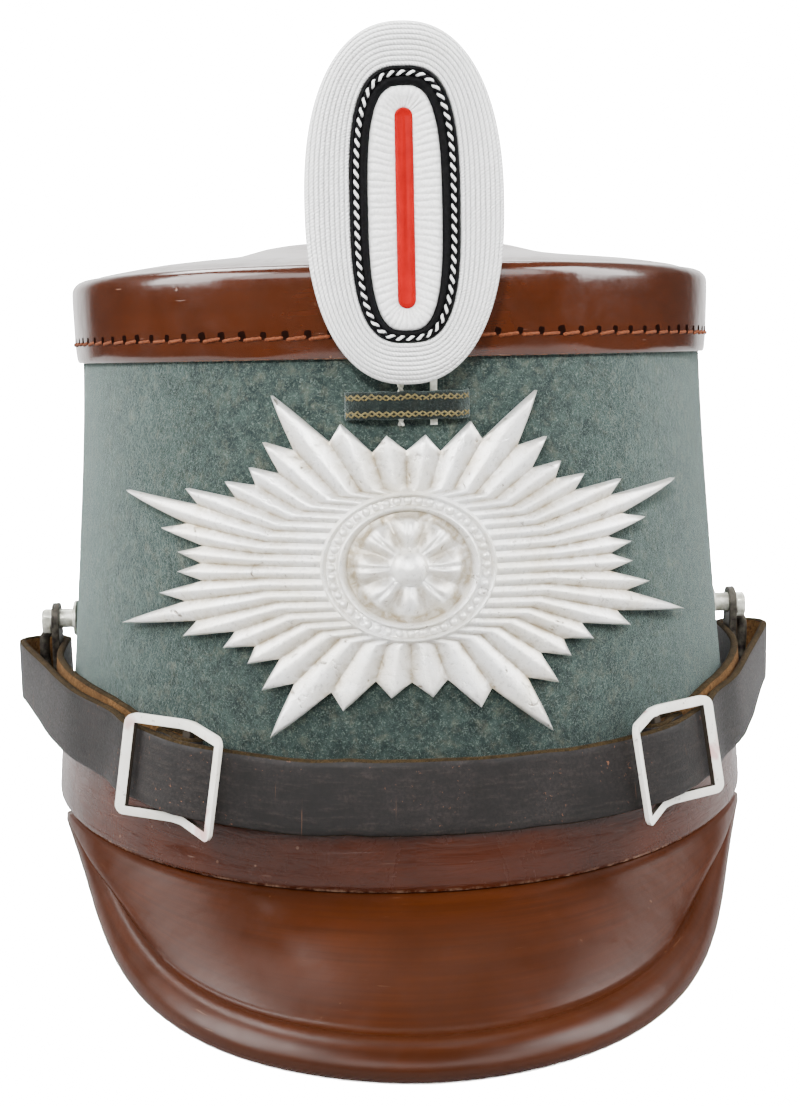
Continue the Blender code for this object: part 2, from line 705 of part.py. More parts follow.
def make_front_plate(material):
    rays = PLATE_POINTS * len(RAY_LENGTHS)
    ray_step = math.tau / rays
    lengths = [RAY_LENGTHS[i % len(RAY_LENGTHS)] for i in range(rays)]

    def ray_end(k):
        """Length of the plate along the k-th line, a ridge if k is odd and else a valley."""
        here, before = lengths[k // 2], lengths[k // 2 - 1]
        return here if k % 2 else min(here, before) - RAY_NOTCH

    def ray_ring(reach_at, relief_at):
        ring = []
        for k in range(2 * rays):
            angle = k * ray_step / 2
            reach = reach_at(k)
            ring.append(plate_point(
                PLATE_HALF_WIDTH * reach * math.cos(angle),
                PLATE_HALF_HEIGHT * reach * math.sin(angle), relief_at(k, reach),
            ))
        return ring

    def relief_at(k, reach):
        if k % 2 == 0:
            return VALLEY_RELIEF
        fall = max(0.0, (reach - lengths[k // 2] + RAY_NOTCH) / RAY_NOTCH)
        return RIDGE_RELIEF + (TIP_RELIEF - RIDGE_RELIEF) * min(fall, 1.0)

    def no_relief(k, reach):
        return 0.0

    rings = []
    for half_width, half_height, relief, petal in ROSETTE_RINGS:
        ring = []
        for k in range(2 * rays):
            angle = k * ray_step / 2
            wave = math.cos(angle * PLATE_POINTS / 2) ** 2
            ring.append(plate_point(
                half_width * MM * math.cos(angle), half_height * MM * math.sin(angle),
                (relief + petal * wave) * MM,
            ))
        rings.append(ring)
    for part in RAY_PARTS:
        rings.append(ray_ring(lambda k: RAY_ROOT + (ray_end(k) - RAY_ROOT) * part, relief_at))
    for part in RAY_PARTS[::-1]:
        rings.append(ray_ring(lambda k: RAY_ROOT + (ray_end(k) - RAY_ROOT) * part, no_relief))
    for share in BACK_SHARES:
        rings.append(ray_ring(lambda k: share, no_relief))
    add_object("front_plate", loft(rings), material)


def oval_loop(shape, depth, trim=0.0):
    """Upright loop in front of the crown: an oval of a given power, or a slot with round ends."""
    half_width, half_height = shape[0] * MM - trim, shape[1] * MM - trim
    middle = COCKADE_HEIGHT - shape[2] * MM
    loop = []
    for angle in full_circle(COCKADE_FACETS):
        c, s = math.cos(angle), math.sin(angle)
        if shape[3]:
            power = 2.0 / shape[3]
            x = half_width * math.copysign(abs(c) ** power, c)
            z = half_height * math.copysign(abs(s) ** power, s)
        else:
            end = 0.0 if abs(s) < 1e-6 else math.copysign(half_height - half_width, s)
            x = half_width * c
            z = half_width * s + end
        loop.append(Vector((COCKADE_X + x, COCKADE_BACK_Y - depth, middle + z)))
    return loop


def between(outer, inner, share):
    """Oval part of the way from an outer oval to an inner one."""
    return tuple(a + (b - a) * share for a, b in zip(outer, inner))


def make_cockade(silver, black, white, red, wire):
    front = COCKADE_PLATE
    back = [oval_loop(RIM_OVAL, 0.0, 0.6 * MM), oval_loop(RIM_OVAL, front, 0.6 * MM)]
    add_object("cockade_back", loft(back), wire)

    seat = front + GAP
    edge, crest, root = (seat + depth * MM for depth in RIM_DEPTHS)
    middle = between(RIM_OVAL, RING_OVAL, 0.4)
    rim = [oval_loop(RIM_OVAL, seat), oval_loop(RIM_OVAL, edge), oval_loop(middle, crest),
           oval_loop(RING_OVAL, root, -GAP), oval_loop(RING_OVAL, seat, -GAP)]
    add_object("cockade_rim", loft(rim, ring=True), silver)

    face = seat + RING_DEPTH * MM
    crown = between(RING_OVAL, FIELD_OVAL, 0.5)
    ring = [oval_loop(RING_OVAL, seat), oval_loop(RING_OVAL, face - 0.8 * MM), oval_loop(crown, face),
            oval_loop(FIELD_OVAL, face - 0.8 * MM), oval_loop(FIELD_OVAL, seat)]
    add_object("cockade_ring", loft(ring, ring=True), black)

    low, high = (seat + depth * MM for depth in FIELD_DEPTHS)
    field = [oval_loop(FIELD_OVAL, seat, GAP), oval_loop(FIELD_OVAL, low, GAP),
             oval_loop(BAR_SLOT, high, -GAP), oval_loop(BAR_SLOT, seat, -GAP)]
    add_object("cockade_field", loft(field, ring=True), white)

    low, high = (seat + depth * MM for depth in BAR_DEPTHS)
    bar = [oval_loop(BAR_SLOT, seat), oval_loop(BAR_SLOT, low), oval_loop(BAR_SLOT, high, 0.7 * MM)]
    add_object("cockade_bar", loft(bar), red)


def make_prong(material):
    """Two flat legs from a cross-piece behind the cockade down into the felt pocket."""
    top, knee, ankle, foot = (height * MM for height in PRONG_HEIGHTS)
    half = PRONG_WIDTH / 2
    first, second = (COCKADE_X + leg * MM for leg in PRONG_LEGS)
    xs = [first - half, first + half, second - half, second + half]
    fork = top - 3 * MM
    outline = [(xs[0], foot), (xs[1], foot), (xs[1], ankle), (xs[1], knee), (xs[1], fork),
               (xs[2], fork), (xs[2], knee), (xs[2], ankle), (xs[2], foot), (xs[3], foot),
               (xs[3], ankle), (xs[3], knee), (xs[3], top), (xs[0], top), (xs[0], knee),
               (xs[0], ankle)]

    def face_y(z):
        if z > ankle:
            return COCKADE_BACK_Y + GAP
        return -body_size(z)[1] - GAP - PRONG_THICKNESS

    bm = bmesh.new()
    layers = []
    for depth in (0.0, PRONG_THICKNESS):
        layers.append([bm.verts.new((x, face_y(z) + depth, z)) for x, z in outline])
    cells = ((0, 1, 2, 15), (15, 2, 3, 14), (14, 3, 4, 13), (4, 5, 12, 13), (5, 6, 11, 12),
             (6, 7, 10, 11), (7, 8, 9, 10))
    for layer in layers:
        for cell in cells:
            bm.faces.new([layer[i] for i in cell])
    for i in range(len(outline)):
        j = (i + 1) % len(outline)
        bm.faces.new((layers[0][i], layers[0][j], layers[1][j], layers[1][i]))
    add_object("cockade_prong", bm, material)


def make_pocket(material):
    """Strip of felt sewn down at its ends, with room behind it for the prong."""
    low, high = POCKET_HEIGHTS
    sections = []
    for i in range(POCKET_FACETS + 1):
        x = -POCKET_HALF_WIDTH + 2 * POCKET_HALF_WIDTH * i / POCKET_FACETS
        bulge = POCKET_BULGE * (1.0 - abs(x / POCKET_HALF_WIDTH) ** 5)
        turn = (x + COCKADE_X) / PLATE_BEND_RADIUS
        inner, outer = GAP + bulge, GAP + bulge + POCKET_THICKNESS
        sections.append([
            body_point(turn, low, inner), body_point(turn, high, inner),
            body_point(turn, high, outer), body_point(turn, low, outer),
        ])
    add_object("prong_pocket", loft(sections), material)


def main():
    clear_scene()
    felt = finish_material("felt", (0.12, 0.19, 0.18), 0.95)
    crown_leather = finish_material("crown leather", (0.13, 0.035, 0.009), 0.2)
    band_leather = finish_material("band leather", (0.07, 0.018, 0.01), 0.25)
    peak_leather = finish_material("peak leather", (0.16, 0.05, 0.014), 0.22)
    strap_leather = finish_material("strap leather", (0.035, 0.028, 0.026), 0.5)
    buckle_metal = finish_material("buckle metal", (0.78, 0.76, 0.7), 0.45, 0.6)
    dark_metal = finish_material("dark metal", (0.06, 0.06, 0.055), 0.45, 0.8)
    post_metal = finish_material("post metal", (0.62, 0.62, 0.55), 0.35, 0.9)
    plate_metal = finish_material("plate metal", (0.7, 0.7, 0.68), 0.5, 0.7)
    silver = finish_material("silver cord", (0.8, 0.8, 0.78), 0.55, 0.2)
    black = finish_material("black cord", (0.012, 0.012, 0.015), 0.5)
    white = finish_material("white thread", (0.82, 0.82, 0.8), 0.5)
    red = finish_material("red lacquer", (0.62, 0.01, 0.01), 0.15)

    make_felt_body(felt)
    make_base_band(band_leather)
    make_crown_top(crown_leather)
    make_peaks(peak_leather)
    make_chin_strap(strap_leather)
    for side_name, side in SIDES:
        make_buckle(side_name, side, buckle_metal)
        make_side_post(side_name, side, post_metal)
        make_lug(side_name, side, dark_metal)
    make_front_plate(plate_metal)
    make_cockade(silver, black, white, red, post_metal)
    make_prong(post_metal)
    make_pocket(felt)
    for piece in bpy.data.objects:
        piece.matrix_world = Matrix.Translation((0.0, ORIGIN_SHIFT, 0.0)) @ piece.matrix_world


main()
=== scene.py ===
# Shako hat: a stiff felt body with a lacquered crown, band and peaks, a buckled strap, a cast rayed
# plate and an oval cockade. Lengths are metres unless a name or comment says millimetres. The front
# faces -Y, so the wearer's left is +X. A turn is an angle from the front towards +X.
import math

import bmesh
import bpy
from mathutils import Matrix, Vector, noise


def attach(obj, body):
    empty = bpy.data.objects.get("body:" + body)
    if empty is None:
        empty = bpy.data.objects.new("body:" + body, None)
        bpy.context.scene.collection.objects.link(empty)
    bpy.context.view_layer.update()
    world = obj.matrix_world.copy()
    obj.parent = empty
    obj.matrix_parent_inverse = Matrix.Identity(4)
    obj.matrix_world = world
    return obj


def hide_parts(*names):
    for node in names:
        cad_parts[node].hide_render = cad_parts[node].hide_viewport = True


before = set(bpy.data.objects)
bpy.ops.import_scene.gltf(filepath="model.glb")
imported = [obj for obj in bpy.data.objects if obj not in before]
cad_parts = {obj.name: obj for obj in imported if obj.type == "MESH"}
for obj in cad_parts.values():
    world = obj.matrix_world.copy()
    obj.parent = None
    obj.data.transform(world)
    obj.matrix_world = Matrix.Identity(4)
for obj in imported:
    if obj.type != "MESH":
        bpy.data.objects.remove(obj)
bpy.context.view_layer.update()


# ---- Camera and studio ----
# The hat stands on a pale table in a white room, in soft light from broad lamps at both sides, in
# front and above. The camera stands close in front, a little above the strap, and looks down a bit.
MM = 0.001
AXIS_Y = 6.3 * MM                   # the body's upright axis, behind the middle of the whole hat


def add(tree, kind, inputs=None, **settings):
    """Add a node. An input takes a value, an output, or a node that stands for its first output."""
    node = tree.nodes.new(kind)
    for name, value in settings.items():
        setattr(node, name, value)
    for key, value in (inputs or {}).items():
        if isinstance(value, bpy.types.Node):
            value = value.outputs[0]
        if isinstance(value, bpy.types.NodeSocket):
            tree.links.new(value, node.inputs[key])
        else:
            node.inputs[key].default_value = value
    return node


def reckon(tree, operation, *values):
    """Work out a number from values or outputs."""
    return add(tree, "ShaderNodeMath", dict(enumerate(values)), operation=operation)


def span_of(tree, value, low, high, to_low=0.0, to_high=1.0, ease="LINEAR"):
    """Clamped map of a value from one range to another."""
    return add(tree, "ShaderNodeMapRange", {0: value, 1: low, 2: high, 3: to_low, 4: to_high},
               interpolation_type=ease)


def start_finish(name):
    """New material, its empty tree, and the coordinates that its patterns follow."""
    material = bpy.data.materials.new(name)
    material.use_nodes = True
    material.node_tree.nodes.clear()
    return material, material.node_tree, add(material.node_tree, "ShaderNodeTexCoord").outputs


def shown_apart(tree, light, shown):
    """One shader for the light that a thing gives, and another for what the camera sees of it."""
    return add(tree, "ShaderNodeMixShader", {
        0: add(tree, "ShaderNodeLightPath").outputs["Is Camera Ray"], 1: light, 2: shown})


def link(piece):
    bpy.context.scene.collection.objects.link(piece)
    return piece


def hang(light, place, aim):
    """Put a light at a place, pointing at another."""
    holder = link(bpy.data.objects.new(light.name, light))
    facing = (Vector(aim) - Vector(place)).to_track_quat("-Z", "Y").to_matrix().to_4x4()
    holder.matrix_world = Matrix.Translation(place) @ facing


lens = bpy.data.cameras.new("camera")
lens.lens, lens.sensor_width, lens.clip_start = 57.2, 36.0, 0.01
camera = link(bpy.data.objects.new("camera", lens))
yaw, pitch, roll = math.radians(1.97), math.radians(6.55), math.radians(1.15)
camera.matrix_world = (
    Matrix.Translation((0.0, AXIS_Y, 0.0)) @ Matrix.Rotation(-yaw, 4, "Z")
    @ Matrix.Translation((0.00142, -0.456, 0.1348))
    @ Matrix.Rotation(math.pi / 2 - pitch, 4, "X") @ Matrix.Rotation(-roll, 4, "Z")
)
bpy.context.scene.camera = camera

LAMPS = (
    # name, place, width, height, power in watts
    ("lamp_left", (-1.05, -0.15, 0.75), 0.7, 1.0, 30.0),
    ("lamp_right", (1.05, -0.15, 0.75), 0.6, 1.0, 27.0),
    ("lamp_top_left", (-0.42, 0.55, 1.10), 0.34, 0.50, 9.0),
    ("lamp_top_right", (0.17, 0.50, 1.15), 0.24, 0.50, 9.0),
    ("lamp_front", (0.0, -1.25, 0.95), 1.3, 0.35, 7.0),
    ("lamp_front_left", (-1.00, -1.10, 1.00), 1.1, 0.8, 14.0),
    ("lamp_front_right", (1.00, -1.10, 0.95), 0.8, 0.9, 12.0),
)
for name, place, width, height, power in LAMPS:
    lamp = bpy.data.lights.new(name, "AREA")
    lamp.shape, lamp.size, lamp.size_y, lamp.energy = "RECTANGLE", width, height, power
    hang(lamp, place, (0.0, 0.0, 0.10))
# a narrow beam picks out the white cockade
beam = bpy.data.lights.new("cockade_beam", "SPOT")
beam.energy, beam.spot_size, beam.spot_blend, beam.shadow_soft_size = 330.0, math.radians(6.8), 1.0, 0.1
hang(beam, (-0.25, -1.30, 0.75), (0.0, -0.086, 0.166))

# the white room gives less light than it shows: a pale backdrop behind the hat, and a soft ring of
# light above eye height that fades towards the back
SHOWN_WHITE = 24.0
room = bpy.data.worlds.new("studio")
bpy.context.scene.world = room
room.use_nodes = True
sky = room.node_tree
sky.nodes.clear()
direction = add(sky, "ShaderNodeTexCoord").outputs["Generated"]
towards = add(sky, "ShaderNodeSeparateXYZ", {0: direction}).outputs
backdrop = span_of(sky, towards[1], 0.70, 0.98, 0.10, 2.4, "SMOOTHSTEP")
rising = span_of(sky, towards[2], 0.26, 0.46, 0.0, 1.0, "SMOOTHSTEP")
falling = span_of(sky, towards[2], 0.70, 0.86, 1.0, 0.0, "SMOOTHSTEP")
ahead = span_of(sky, towards[1], 0.10, 0.50, 1.0, 0.15, "SMOOTHSTEP")
ring = reckon(sky, "MULTIPLY", reckon(sky, "MULTIPLY", rising, falling), ahead)
ambient = add(sky, "ShaderNodeBackground", {
    "Color": (1.0, 0.99, 0.98, 1.0), "Strength": reckon(sky, "MULTIPLY_ADD", ring, 1.1, backdrop)})
white_room = add(sky, "ShaderNodeBackground", {"Color": (1.0, 1.0, 1.0, 1.0), "Strength": SHOWN_WHITE})
add(sky, "ShaderNodeOutputWorld", {"Surface": shown_apart(sky, ambient, white_room)})

table_mesh = bpy.data.meshes.new("table")
corners = [(-0.8, -0.8, 0.0), (0.8, -0.8, 0.0), (0.8, 0.8, 0.0), (-0.8, 0.8, 0.0)]
table_mesh.from_pydata(corners, [], [(0, 1, 2, 3)])
table = link(bpy.data.objects.new("table", table_mesh))
pale, tree, _ = start_finish("pale table")
top, shown_top = (add(tree, "ShaderNodeBsdfDiffuse", {"Color": (grey, grey, grey, 1.0)})
                  for grey in (0.45, SHOWN_WHITE))
add(tree, "ShaderNodeOutputMaterial", {"Surface": shown_apart(tree, top, shown_top)})
table_mesh.materials.append(pale)


# ---- Felt body ----
# A cone of thick pressed wool felt, blocked to the head's oval. Its melange is blue, green and
# grey wool with a few beige hairs, and its surface is napped and slightly uneven.
BODY_SECTIONS = (
    # height, half width, front reach, back reach, in millimetres
    (20.0, 86.2, 101.0, 102.2),
    (44.0, 84.2, 98.6, 99.6),
    (70.0, 81.8, 95.6, 95.4),
    (102.0, 79.3, 92.0, 90.2),
    (133.0, 77.8, 88.4, 85.6),
    (152.0, 77.7, 87.6, 84.4),
)
FELT_WALL, FELT_TOP = 3.0 * MM, 146.6 * MM
JOINT_HEIGHT, JOINT_RISE, JOINT_RISE_POWER = 23.3 * MM, 3.4 * MM, 2.5
ROUND = 192                         # facets round the hat


def smooth_row(table, key):
    """Smoothly interpolate a table on its first column."""
    last = len(table) - 2
    i = max(k for k in range(last + 1) if k == 0 or table[k][0] <= key)
    before, low, high = table[max(i - 1, 0)], table[i], table[i + 1]
    after = table[min(i + 2, last + 1)]
    span = high[0] - low[0]
    t = min(max((key - low[0]) / span, 0.0), 1.0)
    values = []
    for a, b, c, d in list(zip(before, low, high, after))[1:]:
        slope_low = (c - a) / (high[0] - before[0]) * span
        slope_high = (d - b) / (after[0] - low[0]) * span
        values.append(
            (2 * t**3 - 3 * t**2 + 1) * b + (t**3 - 2 * t**2 + t) * slope_low
            + (3 * t**2 - 2 * t**3) * c + (t**3 - t**2) * slope_high
        )
    return values


def body_size(height):
    """Half width, front reach and back reach of the felt at a height."""
    return [value * MM for value in smooth_row(BODY_SECTIONS, height / MM)]


def oval_frame(size, turn):
    """Place and outward direction, both level, on the body's oval."""
    half_width, front, back = size
    length = front if math.cos(turn) >= 0.0 else back
    place = Vector((half_width * math.sin(turn), -length * math.cos(turn), 0.0))
    out = Vector((place.x / half_width**2, place.y / length**2, 0.0)).normalized()
    return place + Vector((0.0, AXIS_Y, 0.0)), out


def body_point(turn, height, stand_off=0.0):
    """Point that stands off the felt at a turn and a height."""
    place, out = oval_frame(body_size(height), turn)
    return place + out * stand_off + Vector((0.0, 0.0, height))


def joint_height(turn):
    return JOINT_HEIGHT + JOINT_RISE * abs(math.sin(turn)) ** JOINT_RISE_POWER


def turns(count=ROUND):
    return [math.tau * i / count for i in range(count)]


def made(name, bm):
    """Piece from a mesh, with its faces turned outwards."""
    bmesh.ops.recalc_face_normals(bm, faces=bm.faces)
    mesh = bpy.data.meshes.new(name)
    bm.to_mesh(mesh)
    bm.free()
    return link(bpy.data.objects.new(name, mesh))


def skin(name, rows, cyclic=True, ring=False, caps=False, sharp=50.0):
    """Piece through rows of points, with a UV map in metres: u along a row, v over the rows."""
    bm = bmesh.new()
    uv = bm.loops.layers.uv.new("UVMap")
    grid = [[bm.verts.new(point) for point in row] for row in rows]
    count = len(rows[0])
    model = rows[len(rows) // 2]
    along = [0.0]
    for i in range(count):
        along.append(along[-1] + (model[(i + 1) % count] - model[i]).length)
    over, middle = [0.0], count // 2
    for r in range(len(rows)):
        over.append(over[-1] + (rows[(r + 1) % len(rows)][middle] - rows[r][middle]).length)
    for r in range(len(rows) if ring else len(rows) - 1):
        s = (r + 1) % len(rows)
        for i in range(count if cyclic else count - 1):
            j = (i + 1) % count
            face = bm.faces.new((grid[r][i], grid[r][j], grid[s][j], grid[s][i]))
            corners = ((i, r), (i + 1, r), (i + 1, r + 1), (i, r + 1))
            for loop, (a, b) in zip(face.loops, corners):
                loop[uv].uv = (along[a], over[b])
    if caps:
        bm.faces.new(grid[0][::-1])
        bm.faces.new(grid[-1])
    piece = made(name, bm)
    piece.data.shade_smooth()
    piece.data.set_sharp_from_angle(angle=math.radians(sharp))
    return piece


def fit_out(piece, slot, *nodes, finish=None):
    """Let a piece ride on the hat, stand for its solids, and take its finish; the slot is not used."""
    if finish:
        piece.data.materials.append(finish)
    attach(piece, "root")
    if nodes:
        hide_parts(*nodes)


def uneven(point, size, depth):
    """Slow wander of a surface: a signed depth that changes over a size."""
    return noise.noise(point / size) * depth


def tint(red, green, blue):
    """Colour as seen, from 0 to 255, made linear."""
    return tuple(((c / 255 + 0.055) / 1.055) ** 2.4 for c in (red, green, blue)) + (1.0,)


def start_group(kind, name, inputs, outputs):
    """Node group with named sockets, each given as name: (socket type, value)."""
    group = bpy.data.node_groups.new(name, kind)
    for socket, (socket_type, value) in inputs.items():
        item = group.interface.new_socket(socket, in_out="INPUT", socket_type=socket_type)
        if value is not None:
            item.default_value = value
    for socket, socket_type in outputs.items():
        group.interface.new_socket(socket, in_out="OUTPUT", socket_type=socket_type)
    return group, group.nodes.new("NodeGroupInput").outputs


def mixed(tree, share, first, second):
    """Mix two colours by a share."""
    return add(tree, "ShaderNodeMix", {0: share, 6: first, 7: second}, data_type="RGBA").outputs[2]


def layered(tree, colour, *layers):
    """Lay colours over a ground, each where its noise lies in a span."""
    for grain, span, over in layers:
        colour = mixed(tree, span_of(tree, grain, *span), colour, over)
    return colour


def speckle(tree, vector, scale, detail=4.0, roughness=0.6, distortion=0.0):
    """Noise at a scale per metre."""
    return add(tree, "ShaderNodeTexNoise", {
        "Vector": vector, "Scale": scale, "Detail": detail, "Roughness": roughness,
        "Distortion": distortion,
    })


def close_finish(tree, inputs, bump=None):
    """Principled shader with these inputs and a bump, given as (strength, distance, height)."""
    if bump:
        inputs["Normal"] = add(tree, "ShaderNodeBump", dict(zip(("Strength", "Distance", "Height"), bump)))
    shader = add(tree, "ShaderNodeBsdfPrincipled", inputs)
    add(tree, "ShaderNodeOutputMaterial", {"Surface": shader})


melange, taken = start_group("ShaderNodeTree", "wool melange", {
    "Vector": ("NodeSocketVector", None), "Deep": ("NodeSocketColor", tint(25, 34, 33)),
    "Ground": ("NodeSocketColor", tint(52, 65, 61)), "Pale": ("NodeSocketColor", tint(102, 114, 106)),
    "Fleck": ("NodeSocketColor", tint(94, 95, 82)),
}, {"Color": "NodeSocketColor", "Height": "NodeSocketFloat"})
clouds = speckle(melange, taken["Vector"], 70.0, 3.0)
mottle = speckle(melange, taken["Vector"], 260.0, 5.0, 0.72, 0.4)
tufts = speckle(melange, taken["Vector"], 640.0, 5.0, 0.72, 0.8)
hairs = speckle(melange, taken["Vector"], 1700.0, 3.0, 0.7, 1.4)
flecks = speckle(melange, taken["Vector"], 300.0, 5.0, 0.75, 0.3)
wool = layered(melange, taken["Deep"], (mottle, (0.36, 0.62), taken["Ground"]),
               (tufts, (0.34, 0.54, 0.75, 0.0), taken["Deep"]),
               (hairs, (0.52, 0.68, 0.0, 0.75), taken["Pale"]),
               (flecks, (0.52, 0.72, 0.0, 0.55), taken["Fleck"]),
               (clouds, (0.3, 0.7, 0.0, 0.25), taken["Deep"]))
add(melange, "NodeGroupOutput", {"Color": wool, "Height": reckon(melange, "ADD", tufts, hairs)})

felt, tree, where = start_finish("felt")
wool = add(tree, "ShaderNodeGroup", {"Vector": where["Object"]}, node_tree=melange).outputs
close_finish(tree, {
    "Base Color": wool["Color"], "Roughness": 0.95, "Sheen Weight": 0.5, "Sheen Roughness": 0.4,
    "Sheen Tint": tint(205, 225, 220), "Specular IOR Level": 0.12,
}, (0.6, 0.0005, wool["Height"]))


def wall_row(share, stand_off=0.0):
    """Row of the wall at a share of its height above the sloping foot."""
    feet = [(turn, joint_height(turn)) for turn in turns()]
    return [body_point(turn, foot + (FELT_TOP - foot) * share, stand_off) for turn, foot in feet]


outside = []
for k in range(41):
    row = wall_row(k / 40)
    for turn, point in zip(turns(), row):
        point += oval_frame(body_size(point.z), turn)[1] * uneven(point, 0.035, 0.25 * MM)
    outside.append(row)
inside = [wall_row(share, -FELT_WALL) for share in (1.0, 0.75, 0.5, 0.25, 0.0)]
felt_body = skin("felt_body_wall", outside + inside, ring=True)
fit_out(felt_body, "felt", "felt_body", finish=felt)


# ---- Base band ----
# A strip of split leather, sized and lacquered dark red-brown, sewn round the foot of the felt. It
# has wrinkled over the years where the strap presses on it.
BAND_TOP, BAND_GAP, BAND_WALL = 44.0 * MM, 0.3 * MM, 1.7 * MM
BAND_FACE = BAND_GAP + BAND_WALL


def drawn_out(tree, run, scale, detail, roughness, distortion=0.0, turn=0.0):
    """Noise stretched along a run by two scales per metre."""
    stretched = add(tree, "ShaderNodeMapping", {
        "Vector": run, "Scale": (*scale, 1.0), "Rotation": (0.0, 0.0, turn)})
    return speckle(tree, stretched, 1.0, detail, roughness, distortion)


lacquer, taken = start_group("ShaderNodeTree", "lacquered leather", {
    "Vector": ("NodeSocketVector", None), "Run": ("NodeSocketVector", None),
    "Dark": ("NodeSocketColor", None), "Warm": ("NodeSocketColor", None),
    "Scuff": ("NodeSocketColor", tint(205, 175, 160)), "Scuffs": ("NodeSocketFloat", 0.5),
    "Gloss": ("NodeSocketFloat", 0.16), "Streaks": ("NodeSocketFloat", 0.4),
    "Wrinkles": ("NodeSocketFloat", 0.0),
}, {"Color": "NodeSocketColor", "Roughness": "NodeSocketFloat", "Height": "NodeSocketFloat"})
clouds = speckle(lacquer, taken["Vector"], 38.0, 4.0, 0.6, 0.4)
grain = speckle(lacquer, taken["Vector"], 1400.0, 4.0, 0.65)
peel = speckle(lacquer, taken["Vector"], 260.0, 2.0, 0.5)
streaks = drawn_out(lacquer, taken["Run"], (14.0, 520.0), 4.0, 0.6)
hide = mixed(lacquer, span_of(lacquer, clouds, 0.25, 0.75), taken["Dark"], taken["Warm"])
streaked = reckon(lacquer, "MULTIPLY", span_of(lacquer, streaks, 0.42, 0.62), taken["Streaks"])
hide = mixed(lacquer, streaked, hide, taken["Dark"])
# scuffs are short scratches and nicks, which lie in patches
scratches = drawn_out(lacquer, taken["Run"], (90.0, 1500.0), 2.0, 0.5, turn=0.12)
patches = speckle(lacquer, taken["Vector"], 70.0, 2.0)
nicks = add(lacquer, "ShaderNodeTexVoronoi", {"Vector": taken["Vector"], "Scale": 240.0}, feature="F1")
scratched = reckon(lacquer, "MULTIPLY", span_of(lacquer, scratches, 0.70, 0.76),
                   span_of(lacquer, patches, 0.5, 0.6))
nicked = reckon(lacquer, "MULTIPLY", span_of(lacquer, nicks, 0.10, 0.06),
                span_of(lacquer, patches, 0.56, 0.64))
marks = reckon(lacquer, "MULTIPLY", reckon(lacquer, "MAXIMUM", scratched, nicked), taken["Scuffs"])
hide = mixed(lacquer, marks, hide, taken["Scuff"])
haze = span_of(lacquer, speckle(lacquer, taken["Vector"], 90.0, 6.0, 0.75, 0.6), 0.35, 0.7, 0.0, 0.14)
pulled = drawn_out(lacquer, taken["Run"], (55.0, 420.0), 3.0, 0.6, 1.2, 0.05)
folds = reckon(lacquer, "MULTIPLY", span_of(lacquer, pulled, 0.35, 0.65), taken["Wrinkles"])
rough = reckon(lacquer, "MULTIPLY_ADD", marks, 0.35, reckon(lacquer, "ADD", haze, taken["Gloss"]))
skin_relief = reckon(lacquer, "MULTIPLY_ADD", peel, 0.8, span_of(lacquer, grain, 0.3, 0.8, 0.0, 0.06))
cut = reckon(lacquer, "MULTIPLY_ADD", marks, -0.8, skin_relief)
add(lacquer, "NodeGroupOutput", {
    "Color": hide, "Roughness": rough, "Height": reckon(lacquer, "ADD", cut, folds)})


def lacquer_finish(name, dark, warm, bump_strength, coat, specular, worn=None, **values):
    """Lacquered leather; worn gives coordinates, axis, and the places from clean to rubbed pale."""
    material, tree, where = start_finish(name)
    inputs = {"Vector": where["Object"], "Run": where["UV"], "Dark": dark, "Warm": warm}
    inputs.update({key.title(): value for key, value in values.items()})
    leather = add(tree, "ShaderNodeGroup", inputs, node_tree=lacquer).outputs
    colour = leather["Color"]
    if worn:
        coordinates, axis, clean, pale_place = worn
        place = add(tree, "ShaderNodeSeparateXYZ", {0: where[coordinates]}).outputs[axis]
        rubs = speckle(tree, where["Object"], 420.0, 5.0, 0.75)
        rubbed = reckon(tree, "MULTIPLY", span_of(tree, place, clean * MM, pale_place * MM),
                        span_of(tree, rubs, 0.46, 0.60))
        colour = mixed(tree, rubbed, colour, values["scuff"])
    close_finish(tree, {
        "Base Color": colour, "Roughness": leather["Roughness"], "Coat Weight": coat,
        "Coat Roughness": 0.14, "Specular IOR Level": specular,
    }, (bump_strength, 0.00025, leather["Height"]))
    return material


band_leather = lacquer_finish("band leather", tint(46, 17, 4), tint(68, 27, 6), 0.4, 0.22, 0.22,
                              ("UV", 1, 0.8, 0.2), scuffs=0.8, scuff=tint(112, 86, 70), gloss=0.2,
                              streaks=0.3, wrinkles=0.7)


def wrinkle(turn, height):
    """Depth of the band's long wrinkles: strongest at the front corners, under the buckles."""
    near = math.exp(-((abs(turn) - math.radians(40)) / math.radians(20)) ** 2)
    place = Vector((math.degrees(turn) / 14.0, height / MM / 4.5, 0.0))
    folds = noise.noise(place) + 0.4 * noise.noise(place * 2.0)
    return (0.3 + near) * folds * 0.5 * MM


BAND_SECTION = (
    # share of the band's height, depth under its face in millimetres, round the strip
    (0.0, 0.45), (0.03, 0.12), (0.08, 0.0), (0.16, 0.0), (0.24, 0.0), (0.32, 0.0), (0.40, 0.0),
    (0.48, 0.0), (0.56, 0.0), (0.64, 0.0), (0.72, 0.0), (0.80, 0.0), (0.88, 0.0), (0.94, 0.03),
    (0.98, 0.2), (1.0, 0.55), (1.0, 1.4), (0.5, 1.7), (0.0, 1.7), (0.0, 1.0),
)
band_rows = []
for level, inward in BAND_SECTION:
    row = []
    for turn in turns(2 * ROUND):
        foot = joint_height(turn)
        height = foot + (BAND_TOP - foot) * level
        signed = turn if turn < math.pi else turn - math.tau
        dent = 0.6 * wrinkle(signed, height) if inward < 1.0 and level > 0.0 else 0.0
        row.append(body_point(turn, height, BAND_FACE - inward * MM - dent))
    band_rows.append(row)
base_band = skin("base_band_strip", band_rows, ring=True)
fit_out(base_band, "band_leather", "base_band", finish=band_leather)


